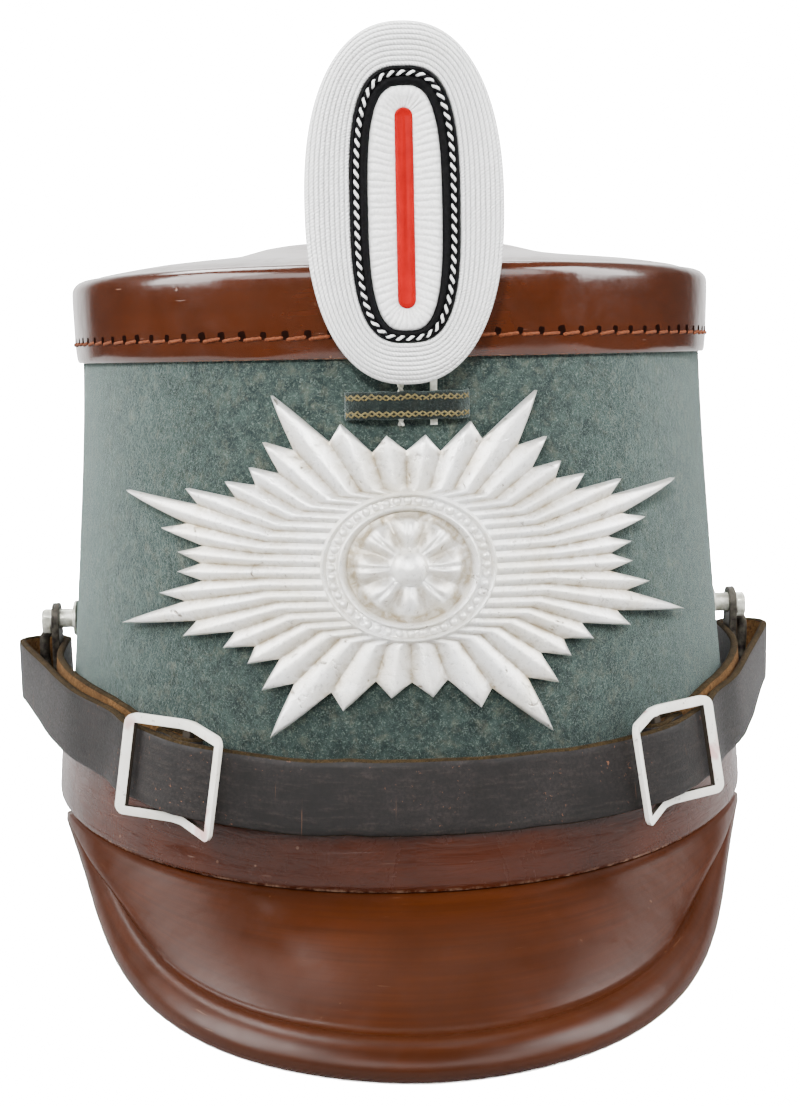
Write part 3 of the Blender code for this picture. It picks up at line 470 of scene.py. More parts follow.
# ---- Crown ----
# A lid of glossy chestnut leather, blocked wet over a stepped form, with its edge turned down over
# the felt and sewn to it with a waxed copper-coloured thread through square awl holes.
CROWN_PROFILE = (
    # share of the rim's oval, stand-off from it and height in millimetres, from middle to inside
    (0.01, 0.0, 161.35), (0.15, 0.0, 161.35), (0.28, 0.0, 161.3), (0.34, 0.0, 161.2),
    (0.38, 0.0, 161.0), (0.42, 0.0, 160.5), (0.46, 0.0, 159.7), (0.50, 0.0, 158.9),
    (0.54, 0.0, 158.3), (0.60, 0.0, 157.7), (0.68, 0.0, 157.0), (0.76, 0.0, 156.3),
    (0.84, 0.0, 155.5), (0.90, 0.0, 154.7), (0.94, 0.0, 154.1), (1.0, -2.6, 153.5),
    (1.0, -1.7, 153.3), (1.0, -0.9, 153.2), (1.0, -0.1, 153.1), (1.0, 0.6, 152.8),
    (1.0, 1.2, 152.3), (1.0, 1.7, 151.7), (1.0, 2.0, 151.0), (1.0, 2.1, 150.2),
    (1.0, 2.12, 148.5), (1.0, 2.08, 146.5), (1.0, 2.0, 144.5), (1.0, 1.92, 142.0),
    (1.0, 1.85, 140.0), (1.0, 1.75, 138.0), (1.0, 1.65, 136.5), (1.0, 1.5, 135.0),
    (1.0, 1.38, 134.1), (1.0, 1.2, 133.6), (1.0, 0.9, 133.4), (1.0, 0.5, 133.4),
    (1.0, 0.35, 133.7), (1.0, 0.35, 140.0), (1.0, 0.5, 147.2), (1.0, -0.8, 149.0), (1.0, -3.2, 150.6),
    (0.87, 0.0, 153.0),
    (0.70, 0.0, 155.0), (0.52, 0.0, 156.4), (0.42, 0.0, 158.6), (0.34, 0.0, 159.3), (0.01, 0.0, 159.4),
)
RIM_HEIGHT = 150.0


def crown_point(scale, stand_off, height, turn):
    """Point of the crown; below the rim it follows the felt."""
    size = [scale * value for value in body_size(min(height, RIM_HEIGHT) * MM)]
    place, out = oval_frame(size, turn)
    return place + out * stand_off * MM + Vector((0.0, 0.0, height * MM))


def crown_edge_point(stand_off, height, turn):
    """Point of the turned-down edge, which wanders a little in and out."""
    point = crown_point(1.0, stand_off, height, turn)
    out = Vector((point.x, point.y - AXIS_Y, 0.0)).normalized()
    return point + out * (uneven(point, 0.028, 0.35 * MM) + uneven(point, 0.009, 0.10 * MM))


crown_leather = lacquer_finish("crown leather", tint(45, 18, 4), tint(67, 28, 7), 0.45, 0.5, 0.4,
                               ("Object", 2, 133.7, 133.3), scuffs=0.4, scuff=tint(146, 108, 86),
                               gloss=0.12, streaks=0.25)
rows = []
for scale, stand_off, height in CROWN_PROFILE:
    row = []
    for turn in turns():
        point = crown_point(scale, stand_off, height, turn)
        if 134.5 < height < 153.0 and stand_off > 0.5:
            point = crown_edge_point(stand_off, height, turn)
        elif stand_off == 0.0 and height > 153.9 and scale > 0.3:
            point.z += uneven(point, 0.03, 0.35 * MM)
        row.append(point)
    rows.append(row)
crown = skin("crown_lid", rows, caps=True)
fit_out(crown, "crown_leather", "crown_top", finish=crown_leather)

# what is laid in rows, such as stitches, holes and pearls, comes from one tree
laying, taken = start_group("GeometryNodeTree", "laid in rows", {
    "Geometry": ("NodeSocketGeometry", None), "Piece": ("NodeSocketObject", None),
    "Turn Jitter": ("NodeSocketFloat", 0.1), "Size Jitter": ("NodeSocketFloat", 0.1),
    "Seed": ("NodeSocketInt", 1), "Finish": ("NodeSocketMaterial", None),
}, {"Geometry": "NodeSocketGeometry"})
along, out = (add(laying, "GeometryNodeInputNamedAttribute", {"Name": key}, data_type="FLOAT_VECTOR")
              for key in ("along", "out"))
facing = add(laying, "FunctionNodeAxesToRotation", {"Primary Axis": along, "Secondary Axis": out},
             primary_axis="X", secondary_axis="Z")


def drawn_lot(low, high):
    """Random number for each place, between two values."""
    lot = add(laying, "FunctionNodeRandomValue", {2: low, 3: high, 8: taken["Seed"]}, data_type="FLOAT")
    return lot.outputs[1]


angle = drawn_lot(reckon(laying, "MULTIPLY", taken["Turn Jitter"], -1.0), taken["Turn Jitter"])
size = drawn_lot(reckon(laying, "SUBTRACT", 1.0, taken["Size Jitter"]),
                 reckon(laying, "ADD", 1.0, taken["Size Jitter"]))
spin = add(laying, "FunctionNodeAxisAngleToRotation", {"Axis": (0.0, 0.0, 1.0), "Angle": angle})
facing = add(laying, "FunctionNodeRotateRotation", {"Rotation": facing, "Rotate By": spin},
             rotation_space="LOCAL")
shape = add(laying, "GeometryNodeObjectInfo", {"Object": taken["Piece"]}).outputs["Geometry"]
laid = add(laying, "GeometryNodeInstanceOnPoints", {
    "Points": taken["Geometry"], "Instance": shape, "Rotation": facing, "Scale": size})
laid = add(laying, "GeometryNodeRealizeInstances", {"Geometry": laid})
laid = add(laying, "GeometryNodeSetMaterial", {"Geometry": laid, "Material": taken["Finish"]})
add(laying, "NodeGroupOutput", {"Geometry": laid})


def settled(piece):
    """Mesh of a piece with its modifiers worked in."""
    depsgraph = bpy.context.evaluated_depsgraph_get()
    return bpy.data.meshes.new_from_object(piece.evaluated_get(depsgraph), depsgraph=depsgraph)


def grown(name, points, edges, tree, values, columns=()):
    """Run a geometry tree on points with columns of directions, and keep the plain mesh it gives."""
    source = link(bpy.data.objects.new(name, bpy.data.meshes.new(name)))
    source.data.from_pydata(points, edges, [])
    for key, directions in columns:
        layer = source.data.attributes.new(key, "FLOAT_VECTOR", "POINT")
        layer.data.foreach_set("vector", [c for direction in directions for c in direction])
    modifier = source.modifiers.new("tree", "NODES")
    modifier.node_group = tree
    for item in tree.interface.items_tree:
        if item.in_out == "INPUT" and item.name in values:
            modifier[item.identifier] = values[item.name]
    mesh = settled(source)
    mesh.name = name
    mesh.shade_smooth()
    bpy.data.objects.remove(source)
    return link(bpy.data.objects.new(name, mesh))


def lay_rows(name, places, piece, finish, turn_jitter, size_jitter, seed):
    """Lay a small piece at each (point, along, out), join the lot and put the loose piece away."""
    points, alongs, outs = zip(*places)
    laid_row = grown(name, points, [], laying, {
        "Piece": piece, "Turn Jitter": turn_jitter, "Size Jitter": size_jitter, "Seed": seed,
        "Finish": finish,
    }, (("along", alongs), ("out", outs)))
    bpy.data.objects.remove(piece)
    return laid_row


def thread_piece(length, radius, arch, steps):
    """One stitch along X: a round thread that arches out along Z and dives in at both ends."""
    rows = []
    for k in range(steps + 1):
        t = k / steps
        z = arch * (1.0 - abs(2.0 * t - 1.0) ** 3.5) - 0.9 * radius
        girth = radius * (1.0 + 0.12 * math.sin(t * math.pi * 5.0))
        rows.append([Vector(((t - 0.5) * length, girth * math.cos(a), z + girth * math.sin(a)))
                     for a in turns(6)])
    return skin("stitch", rows, caps=True, sharp=70)


def row_places(height, stand_off, count, shift=0.0, slant=0.0):
    """Evenly spaced places round the crown's edge, each with its run and its outward direction."""
    places = []
    for i in range(count):
        turn = math.tau * (i + shift) / count
        point = crown_edge_point(stand_off, height, turn)
        after = crown_edge_point(stand_off, height, turn + 0.02)
        run = (after - point).normalized()
        out = Vector((run.y, -run.x, 0.0))
        run = (run * math.cos(slant) + Vector((0.0, 0.0, math.sin(slant)))).normalized()
        places.append((point, run, out))
    return places


def fibre_finish(name, dark, pale, grain, spread, bump, inputs):
    """Finish mottled between two colours by its own fine grain, which also raises it."""
    material, tree, where = start_finish(name)
    fibre = speckle(tree, where["Object"], *grain)
    colour = mixed(tree, span_of(tree, fibre, *spread), dark, pale)
    close_finish(tree, {"Base Color": colour, **inputs}, (*bump, fibre))
    return material


EDGE_STITCHES = 100
copper = fibre_finish("copper thread", tint(66, 32, 16), tint(122, 66, 38), (2600.0, 3.0), (0.35, 0.65),
                      (0.5, 0.0002), {"Roughness": 0.7, "Specular IOR Level": 0.15})
stitches = lay_rows("crown_stitches", row_places(137.9, 1.74, EDGE_STITCHES, 0.5, 0.10),
                    thread_piece(4.6 * MM, 0.38 * MM, 0.44 * MM, 11), copper, 0.05, 0.06, 4)
fit_out(stitches, "crown_leather")

# the awl holes are flat dark patches on the leather: painted shade for the insides of the holes
awl_hole_painted_shade, tree, where = start_finish("awl holes")
close_finish(tree, {
    "Base Color": mixed(tree, speckle(tree, where["Object"], 1200.0), tint(8, 4, 3), tint(26, 12, 8)),
    "Roughness": 0.9, "Specular IOR Level": 0.0,
})


def rooted(value, power):
    """Power of a number that keeps its sign, for ovals and squarish rounds."""
    return math.copysign(abs(value) ** power, value)


hole_rows = [
    [Vector((half * rooted(math.cos(a), 0.5), 1.15 * half * rooted(math.sin(a), 0.5), depth)) * MM
     for a in turns(12)]
    for depth, half in ((-0.1, 0.80), (0.05, 0.78), (0.045, 0.4), (0.04, 0.02))
]
holes = lay_rows("crown_awl_holes", row_places(138.6, 1.79, EDGE_STITCHES),
                 skin("awl_hole", hole_rows, caps=True), awl_hole_painted_shade, 0.25, 0.18, 9)
fit_out(holes, "crown_leather")


# ---- Peaks ----
# Two peaks of thick leather, moulded wet, lacquered brown and sewn under the body. The leather's
# edge is rolled over a cord into a round lip.
PEAK_SHEET, PEAK_BULGE, PEAK_END_REACH, PEAK_END_DROP = 2.0 * MM, 0.8 * MM, 0.3 * MM, 3.3 * MM
LIP_HALF_LENGTH, LIP_HALF_THICKNESS, LIP_END_SCALE, LIP_FADE_POWER = 5.0 * MM, 3.2 * MM, 0.25, 5.5
PEAK_FLAT_TURN, PEAK_RISE_POWER, PEAK_TAPER, PEAK_FULLNESS = 11.5, 2.1, 2.15, 0.88
PEAKS = (
    # name, turn of its middle and half spread in degrees, reach in millimetres, node
    ("front_peak_leather", 0.0, 68.5, 43.5, "front_peak"),
    ("rear_peak_leather", 180.0, 60.0, 29.5, "rear_peak"),
)


def bow(start, middle, end, t):
    """Point at a share t of a smooth bow that passes through its middle at a half."""
    control = middle * 2.0 - (start + end) / 2.0
    return start * (1 - t) ** 2 + control * (2 * t * (1 - t)) + end * t**2


def peak_section(turn, offset, spread, reach):
    """Section of a peak: a ledge under the body, the sheet, and the rolled lip."""
    share = min(abs(offset) / spread, 1.0)
    taper = math.cos(math.pi / 2 * share**PEAK_FULLNESS) ** PEAK_TAPER
    length = PEAK_END_REACH + (reach - PEAK_END_REACH) * taper
    lip = 1.0 - (1.0 - LIP_END_SCALE) * share**LIP_FADE_POWER
    half_length, half_thickness = LIP_HALF_LENGTH * lip, LIP_HALF_THICKNESS * lip
    half_sheet = PEAK_SHEET / 2 * min(1.0, 1.2 * lip)
    top = joint_height(turn) - BAND_GAP
    end_height = joint_height(math.radians(spread)) - PEAK_END_DROP
    climb = max(0.0, (abs(offset) - PEAK_FLAT_TURN) / (spread - PEAK_FLAT_TURN))
    edge_height = end_height * climb**PEAK_RISE_POWER
    slope = math.atan2(top - edge_height, length)
    for _ in range(4):
        below = math.hypot(half_length * math.sin(slope), half_thickness * math.cos(slope))
        beyond = math.hypot(half_length * math.cos(slope), half_thickness * math.sin(slope))
        centre = Vector((length - beyond, edge_height + below))
        start = Vector((0.0, top - half_sheet))
        slope = math.atan2(start.y - centre.y, max(centre.x, 0.1 * MM))
    along = Vector((math.cos(slope), -math.sin(slope)))
    across = Vector((math.sin(slope), math.cos(slope)))
    crease = math.asin(half_sheet / half_thickness)
    lip_points = []
    for k in range(21):
        angle = (math.pi - crease) * (1.0 - k / 10.0)
        spot = along * half_length * math.cos(angle) + across * half_thickness * math.sin(angle)
        lip_points.append(centre + spot)
    middle = (start + centre) / 2 + across * PEAK_BULGE * lip
    upper_start, lower_start = Vector((0.0, top)), Vector((0.0, top - 2 * half_sheet))
    upper = [bow(upper_start, middle + across * half_sheet, lip_points[0], k / 14) for k in range(14)]
    lower = [bow(lip_points[-1], middle - across * half_sheet, lower_start, k / 8) for k in range(1, 9)]
    inner = Vector((-BAND_FACE - FELT_WALL, 0.0))
    profile = [upper_start + inner] + upper + lip_points + lower + [lower_start + inner]
    place, out = oval_frame(body_size(top), turn)
    face = place + out * BAND_FACE
    return [face + out * point.x + Vector((0.0, 0.0, point.y)) for point in profile]


def turn_out(piece, fill=False):
    """Turn the piece's faces outwards, with its open ends filled first if asked."""
    bm = bmesh.new()
    bm.from_mesh(piece.data)
    if fill:
        bmesh.ops.holes_fill(bm, edges=[edge for edge in bm.edges if edge.is_boundary])
    bmesh.ops.recalc_face_normals(bm, faces=bm.faces)
    bm.to_mesh(piece.data)
    bm.free()


peak_leather = lacquer_finish("peak leather", tint(50, 21, 5), tint(66, 29, 8), 0.25, 0.0, 0.21,
                              scuffs=0.3, scuff=tint(132, 96, 72), gloss=0.28, streaks=0.8)
for name, middle, spread, reach, node in PEAKS:
    columns = []
    for i in range(int(spread) + 1):
        offset = -spread + 2 * spread * i / int(spread)
        columns.append(peak_section(math.radians(middle + offset), offset, spread, reach * MM))
    peak = skin(name, list(zip(*columns)), cyclic=False, ring=True, sharp=75)
    turn_out(peak, fill=True)
    fit_out(peak, "peak_leather", node, finish=peak_leather)


# ---- Chin strap ----
# One strip of worn dark leather, grain side out. It runs over both buckles, folds round the lug at
# each side, and comes back under itself to be sewn round the buckle's middle bar.
STRAP_THICKNESS, STRAP_TILT, RETURN_RISE = 1.8 * MM, 0.8 * MM, 1.8 * MM
STRAP_HEIGHTS = (
    # place along Y from the body's axis, height of the middle line, in millimetres
    (-112.0, 43.3), (-100.0, 43.3), (-93.0, 44.0), (-70.0, 48.1), (-58.0, 49.6), (10.0, 54.0),
)
STRAP_OVER_BUCKLE = (
    # place along the buckle, rise above a layer that lies on the band, in millimetres
    (-30.0, -5.0), (-25.0, -2.6), (-20.0, -0.2), (-15.5, 1.8), (-11.0, 3.5), (-5.5, 5.2),
    (0.0, 5.8), (5.5, 5.2), (11.0, 4.0), (16.0, 3.3),
)
STRAP_END_LOOP = (
    # place along the buckle, rise above the same layer: round the middle bar and back
    (3.0, 0.0), (-0.6, 0.0), (-2.4, 0.8), (-2.7, 1.8), (-2.4, 2.8), (-0.6, 3.6), (1.5, 3.5),
    (4.5, 2.4), (8.0, 2.1),
)
STRAP_CLEARANCE, LAYER_GAP = 0.7 * MM, 0.6 * MM
STRAP_SEAT = BAND_FACE + STRAP_CLEARANCE + STRAP_THICKNESS / 2
STRAP_LEAN, SIDE_EASE, SIDE_TURNS = 0.09, 0.8 * MM, (74.0, 88.0)
FOLD_X, FOLD_Y, FOLD_RADIUS, FOLD_FACETS = 92.3 * MM, 5.0 * MM, 5.9 * MM, 12
BUCKLE_LENGTH, BUCKLE_AHEAD = 29.0 * MM, 80 * MM
BUCKLE_PLACES = {"left": 51.0 * MM, "right": 45.4 * MM}
STRAP_AHEAD = 98 * MM                # how far the strap reaches before the body's axis
LIFT_TURN, OUTER_TURN, END_TURN = math.radians(24), math.radians(15), math.radians(9)


def strap_height(point_y, sign):
    """Height of the strap's middle line; the sign is 1 at the wearer's left and -1 at the right."""
    ahead = min(max((AXIS_Y - point_y) / STRAP_AHEAD, 0.0), 1.0)
    tilt = STRAP_TILT * 2.0 * ahead * math.sqrt(1.0 - ahead**2)
    return smooth_row(STRAP_HEIGHTS, (point_y - AXIS_Y) / MM)[0] * MM - sign * tilt


def side_sign(side_name):
    return 1.0 if side_name == "left" else -1.0


def buckle_frame(side_name):
    """Felt point under the buckle's middle bar, direction to the back, and direction outwards."""
    size = body_size(strap_height(AXIS_Y - BUCKLE_AHEAD, 0.0))
    place, out = oval_frame(size, math.asin(BUCKLE_PLACES[side_name] / size[0]))
    return place, Vector((-out.y, out.x, 0.0)), out


def buckle_slope(side_name):
    """Rise of the buckle for each unit towards the back."""
    sign = side_sign(side_name)
    felt_place, back, _ = buckle_frame(side_name)
    start, end = felt_place - back * BUCKLE_LENGTH / 2, felt_place + back * BUCKLE_LENGTH / 2
    return (strap_height(end.y, sign) - strap_height(start.y, sign)) / BUCKLE_LENGTH


def side_share(turn):
    """How far the strap is eased at a turn: 0 over the band, 1 at the sides."""
    first, last = SIDE_TURNS
    return min(max((math.degrees(abs(turn)) - first) / (last - first), 0.0), 1.0)


def seated_point(turn, sign, outer=False, rise=0.0):
    """Middle of a strap layer that lies on the body at a turn, or of the layer outside that one."""
    guess, _ = oval_frame(body_size(BAND_TOP), turn)
    stand_off = STRAP_SEAT - SIDE_EASE * side_share(turn)
    if outer:
        stand_off = STRAP_SEAT + STRAP_THICKNESS + LAYER_GAP
    return body_point(turn, strap_height(guess.y, sign) + rise, stand_off)


def smooth_path(points, steps):
    """Smooth curve through points, with a number of steps between each two."""
    path = []
    for i in range(len(points) - 1):
        before, start = points[max(i - 1, 0)], points[i]
        end, after = points[i + 1], points[min(i + 2, len(points) - 1)]
        for k in range(steps):
            t = k / steps
            path.append(0.5 * (
                2 * start + (end - before) * t + (2 * before - 5 * start + 4 * end - after) * t**2
                + (3 * start - before - 3 * end + after) * t**3
            ))
    path.append(points[-1])
    return path


def strap_half(side_name):
    """Middle line of one half of the strap, on the +X side, from the front to its sewn end."""
    sign = side_sign(side_name)
    felt_place, back, out = buckle_frame(side_name)
    slope = buckle_slope(side_name)

    def near_buckle(along, rise):
        place = felt_place + back * along * MM
        point = place + out * (STRAP_SEAT + rise * MM)
        if abs(along) <= BUCKLE_LENGTH / 2 / MM + 1.0:
            point.z = strap_height(felt_place.y, sign) + slope * along * MM
        else:
            point.z = strap_height(place.y, sign)
        return point

    size = body_size(strap_height(felt_place.y, sign))
    buckle_turn = math.atan2(felt_place.x / size[0], -(felt_place.y - AXIS_Y) / size[1])
    lift_turn = buckle_turn - LIFT_TURN
    front = [seated_point(lift_turn * k / 3, sign) for k in range(4)]
    over_buckle = [near_buckle(*place) for place in STRAP_OVER_BUCKLE]

    # over the layer beneath, straight from where it leaves the body to the fold, and round it
    fold = Vector((FOLD_X, AXIS_Y + FOLD_Y, strap_height(AXIS_Y + FOLD_Y, sign)))
    outermost = fold + Vector((FOLD_RADIUS, 0.0, 0.0))
    leave_turn = math.radians(50)
    while True:
        leaving = seated_point(leave_turn, sign, outer=True)
        _, away = oval_frame(body_size(leaving.z), leave_turn)
        if (outermost - leaving).dot(away) > 0.0:
            break
        leave_turn += math.radians(1)
    first_outer = buckle_turn + OUTER_TURN
    outer = [seated_point(first_outer + (leave_turn - first_outer) * k / 2, sign, outer=True)
             for k in range(3)]
    heading = outermost - leaving
    first = -math.atan2(heading.x, heading.y)
    bend = [
        fold + FOLD_RADIUS * Vector((math.cos(a), math.sin(a), 0.0))
        for a in (first + (math.pi - first) * k / FOLD_FACETS for k in range(FOLD_FACETS + 1))
    ]
    outer += [leaving.lerp(bend[0], 0.35), leaving.lerp(bend[0], 0.7)]
    first_turn, last_turn = math.radians(88), buckle_turn + END_TURN
    returning = [
        seated_point(first_turn + (last_turn - first_turn) * k / 6, sign,
                     rise=RETURN_RISE * max(math.sin(math.pi * k / 6), 0.0) ** 0.5)
        for k in range(1, 7)
    ]
    end_loop = [near_buckle(*place) for place in STRAP_END_LOOP]
    path = smooth_path(front, 12)[:-1]
    path += smooth_path(front[-1:] + over_buckle + outer + bend[:1], 6)[:-1]
    path += smooth_path(bend + returning, 5)[:-1]
    return path + smooth_path(returning[-1:] + end_loop, 5)


def across_strap(point):
    """Direction from the strap's lower edge to its upper edge, the same for all its layers."""
    y = point.y - AXIS_Y
    sign = math.copysign(1.0, point.x)
    out = Vector((point.x, y * 0.8, 0.0)).normalized()
    run = Vector((-out.y, out.x, 0.0)) * BUCKLE_LENGTH / 2
    slope = (strap_height(point.y + run.y, sign) - strap_height(point.y - run.y, sign)) / BUCKLE_LENGTH
    lean = STRAP_LEAN * (1.0 - side_share(math.atan2(point.x, -y * 0.8)))
    return (Vector((0.0, 0.0, 1.0)) - run.normalized() * slope).normalized() - out * lean


grained, tree, where = start_finish("strap grain side")
worn = speckle(tree, where["Object"], 60.0, 4.0, 0.65)
creases = drawn_out(tree, where["UV"], (900.0, 110.0), 4.0, 0.7)
pores = speckle(tree, where["Object"], 1500.0, 4.0, 0.7)
chips = speckle(tree, where["Object"], 1300.0, 3.0, 0.6, 0.5)
cracks = drawn_out(tree, where["UV"], (60.0, 1300.0), 2.0, 0.5, 0.3)
hide = layered(tree, tint(22, 19, 18), (worn, (0.35, 0.65), tint(37, 33, 32)),
               (creases, (0.50, 0.68, 0.0, 0.45), tint(56, 48, 44)),
               (pores, (0.56, 0.44, 0.0, 0.6), tint(15, 14, 14)))
chipped = reckon(tree, "MULTIPLY", span_of(tree, chips, 0.66, 0.72), span_of(tree, worn, 0.46, 0.60))
hide = mixed(tree, chipped, hide, tint(122, 80, 56))
hide = layered(tree, hide, (cracks, (0.73, 0.77, 0.0, 0.6), tint(112, 76, 54)))
close_finish(tree, {
    "Base Color": hide, "Roughness": span_of(tree, pores, 0.3, 0.7, 0.42, 0.6),
    "Specular IOR Level": 0.25,
}, (0.35, 0.00025, reckon(tree, "ADD", creases, pores)))


def raw_finish(name, dark, pale, scale=900.0):
    """Raw leather, fuzzy with loose fibres."""
    material, tree, where = start_finish(name)
    fibres = speckle(tree, where["Object"], scale, 5.0, 0.75, 1.5)
    blotches = speckle(tree, where["Object"], 120.0, 3.0)
    hide = layered(tree, dark, (fibres, (0.35, 0.65), pale), (blotches, (0.4, 0.7, 0.0, 0.5), dark))
    close_finish(tree, {"Base Color": hide, "Roughness": 0.95, "Specular IOR Level": 0.1},
                 (0.7, 0.0004, fibres))
    return material


flesh = raw_finish("strap flesh side", tint(60, 41, 24), tint(112, 82, 50))
cut_edge = raw_finish("strap cut edge", tint(26, 21, 13), tint(66, 52, 31), 1300.0)
STRAP_SECTION = (
    # place from the lower edge to the upper one, depth towards the grain side, finish
    (7.4, 0.9, 0), (6.0, 0.93, 0), (3.0, 0.95, 0), (0.0, 0.95, 0), (-3.0, 0.95, 0), (-6.0, 0.93, 0),
    (-7.4, 0.9, 0), (-7.75, 0.72, 2), (-7.95, 0.4, 2), (-8.0, 0.0, 2), (-7.95, -0.45, 2),
    (-7.7, -0.8, 2), (-7.4, -0.9, 1), (-3.5, -0.9, 1), (0.0, -0.9, 1), (3.5, -0.9, 1),
    (7.4, -0.9, 2), (7.7, -0.8, 2), (7.95, -0.45, 2), (8.0, 0.0, 2), (7.95, 0.4, 2),
    (7.75, 0.72, 2),
)
left_half = strap_half("left")
right_half = [Vector((-point.x, point.y, point.z)) for point in strap_half("right")]
strap_path = right_half[:0:-1] + left_half


def tangent_at(path, i):
    """Direction of a path at its i-th point."""
    return (path[min(i + 1, len(path) - 1)] - path[max(i - 1, 0)]).normalized()


sections = []
for i, point in enumerate(strap_path):
    up = across_strap(point)
    out = tangent_at(strap_path, i).cross(up).normalized()
    row = []
    for across, depth, finish in STRAP_SECTION:
        spot = point + up * across * MM
        wear = uneven(spot, 0.004, 0.16 * MM) if finish == 2 else uneven(spot, 0.02, 0.1 * MM)
        row.append(spot + out * (depth * MM + min(wear, 0.05 * MM)) - up * abs(wear) * (across / 8))
    sections.append(row)
strap = skin("chin_strap_leather", sections, caps=True, sharp=60)
for material in (grained, flesh, cut_edge):
    strap.data.materials.append(material)
wide = len(STRAP_SECTION)
for face in strap.data.polygons:
    face.material_index = STRAP_SECTION[face.index % wide][2] if len(face.vertices) == 4 else 2
fit_out(strap, "strap_leather", "chin_strap")


# ---- Buckles ----
# Cast white-metal frames with rounded outer corners and a middle bar, bent inwards along it. They
# are stained in places; the bar and the windows' inner walls are painted dark, as painted shade.
BUCKLE_HEIGHT, BUCKLE_WINDOW, BUCKLE_SIDE_BAR, BUCKLE_BAR = 22.2 * MM, 18.3 * MM, 2.3 * MM, 2.2 * MM
BUCKLE_THICKNESS, BUCKLE_BEND, BUCKLE_CORNER = 1.2 * MM, math.radians(22.4), 2.2 * MM
BUCKLE_SEAT = STRAP_SEAT + STRAP_THICKNESS / 2 + 0.3 * MM + BUCKLE_THICKNESS / 2

# painted shade: a flat dark finish for the middle bar and the windows' inner walls
buckle_painted_shade, tree, _ = start_finish("grimy metal")
close_finish(tree, {"Base Color": tint(50, 44, 37), "Roughness": 0.8, "Specular IOR Level": 0.2})
ivory, tree, where = start_finish("white metal")
cloud = speckle(tree, where["Object"], 160.0)
dirt = speckle(tree, where["Object"], 520.0, 4.0, 0.7)
stain = speckle(tree, where["Object"], 95.0, 2.0, 0.5, 0.4)
metal = layered(tree, tint(250, 249, 242), (cloud, (0.35, 0.7), tint(236, 232, 219)),
                (dirt, (0.60, 0.72, 0.0, 0.8), tint(104, 86, 74)),
                (stain, (0.60, 0.67, 0.0, 0.6), tint(190, 96, 100)))
close_finish(tree, {"Base Color": metal, "Roughness": span_of(tree, dirt, 0.3, 0.75, 0.3, 0.6)},
             (0.2, 0.0002, dirt))


def rounded_box(half_x, half_y, radius, steps=6):
    """Outline of a rectangle with rounded corners."""
    outline = []
    for quarter, (sx, sy) in enumerate(((1, 1), (-1, 1), (-1, -1), (1, -1))):
        centre = Vector((sx * (half_x - radius), sy * (half_y - radius), 0.0))
        for k in range(steps + 1):
            a = math.pi / 2 * (quarter + k / steps)
            outline.append(centre + Vector((math.cos(a), math.sin(a), 0.0)) * radius)
    return outline


def flat_frame(name, outlines, cuts, thickness):
    """Flat plate between outlines, with extra cuts across it at some places along X."""
    bm = bmesh.new()
    for outline in outlines:
        verts = [bm.verts.new(point) for point in outline]
        for i in range(len(verts)):
            bm.edges.new((verts[i - 1], verts[i]))
    bmesh.ops.triangle_fill(bm, use_beauty=True, use_dissolve=False, edges=bm.edges[:])
    for cut in cuts:
        bmesh.ops.bisect_plane(bm, geom=bm.verts[:] + bm.edges[:] + bm.faces[:], dist=1e-6,
                               plane_co=(cut, 0.0, 0.0), plane_no=(1.0, 0.0, 0.0))
    grown_part = bmesh.ops.extrude_face_region(bm, geom=bm.faces[:])
    for item in grown_part["geom"]:
        if isinstance(item, bmesh.types.BMVert):
            item.co.z += thickness
    return made(name, bm)


def soften(piece, width):
    """Round the piece's sharp edges."""
    bevel = piece.modifiers.new("soft edges", "BEVEL")
    bevel.width, bevel.segments, bevel.limit_method = width, 2, "ANGLE"
    bevel.angle_limit = math.radians(40)
    mesh = settled(piece)
    piece.modifiers.remove(bevel)
    piece.data = mesh
    mesh.shade_smooth()
    mesh.set_sharp_from_angle(angle=math.radians(45))


half, half_window, half_bar = BUCKLE_LENGTH / 2, BUCKLE_WINDOW / 2, BUCKLE_BAR / 2
windows = [
    [Vector((x, y, 0.0)) for x, y in (
        (low, -half_window), (high, -half_window), (high, half_window), (low, half_window))]
    for low, high in ((BUCKLE_SIDE_BAR - half, -half_bar), (half_bar, half - BUCKLE_SIDE_BAR))
]
for side_name, side in (("left", 1.0), ("right", -1.0)):
    outline = rounded_box(half, BUCKLE_HEIGHT / 2, BUCKLE_CORNER)
    cuts = [share * half_bar for share in (-2.2, -1.4, -0.5, 0.5, 1.4, 2.2)]
    buckle = flat_frame(f"strap_buckle_{side_name}_frame", [outline] + windows, cuts, BUCKLE_THICKNESS)
    soften(buckle, 0.38 * MM)
    for finish in (ivory, buckle_painted_shade):
        buckle.data.materials.append(finish)
    # faces of the middle bar and of the windows' inner walls take the painted shade
    for face in buckle.data.polygons:
        x, y = abs(face.center.x), abs(face.center.y)
        on_bar = x < 1.05 * half_bar and y < 0.96 * half_window
        inner_wall = abs(face.normal.z) < 0.5 and x < half - 1.2 * MM and y < half_window + 0.3 * MM
        face.material_index = int(on_bar or inner_wall)

    felt_place, back, out = buckle_frame(side_name)
    slant = math.atan(buckle_slope(side_name))
    along = back * math.cos(slant) + Vector((0.0, 0.0, math.sin(slant)))
    up = out.cross(along) if out.cross(along).z > 0 else along.cross(out)
    up -= out * STRAP_LEAN
    centre = felt_place + out * BUCKLE_SEAT
    centre.z = strap_height(felt_place.y, side)
    for vert in buckle.data.vertices:
        x, y, z = vert.co
        from_bar = abs(x) / half_bar
        rise = half_bar * (max(from_bar - 1.0, 0.0) + 0.35 * math.exp(-(from_bar / 1.3) ** 2))
        place = centre + along * x * math.cos(BUCKLE_BEND) + up * y
        place += out * (rise * math.sin(BUCKLE_BEND) + z - BUCKLE_THICKNESS / 2)
        place.x *= side
        vert.co = place
    turn_out(buckle)
    fit_out(buckle, "buckle_metal", f"strap_buckle_{side_name}")


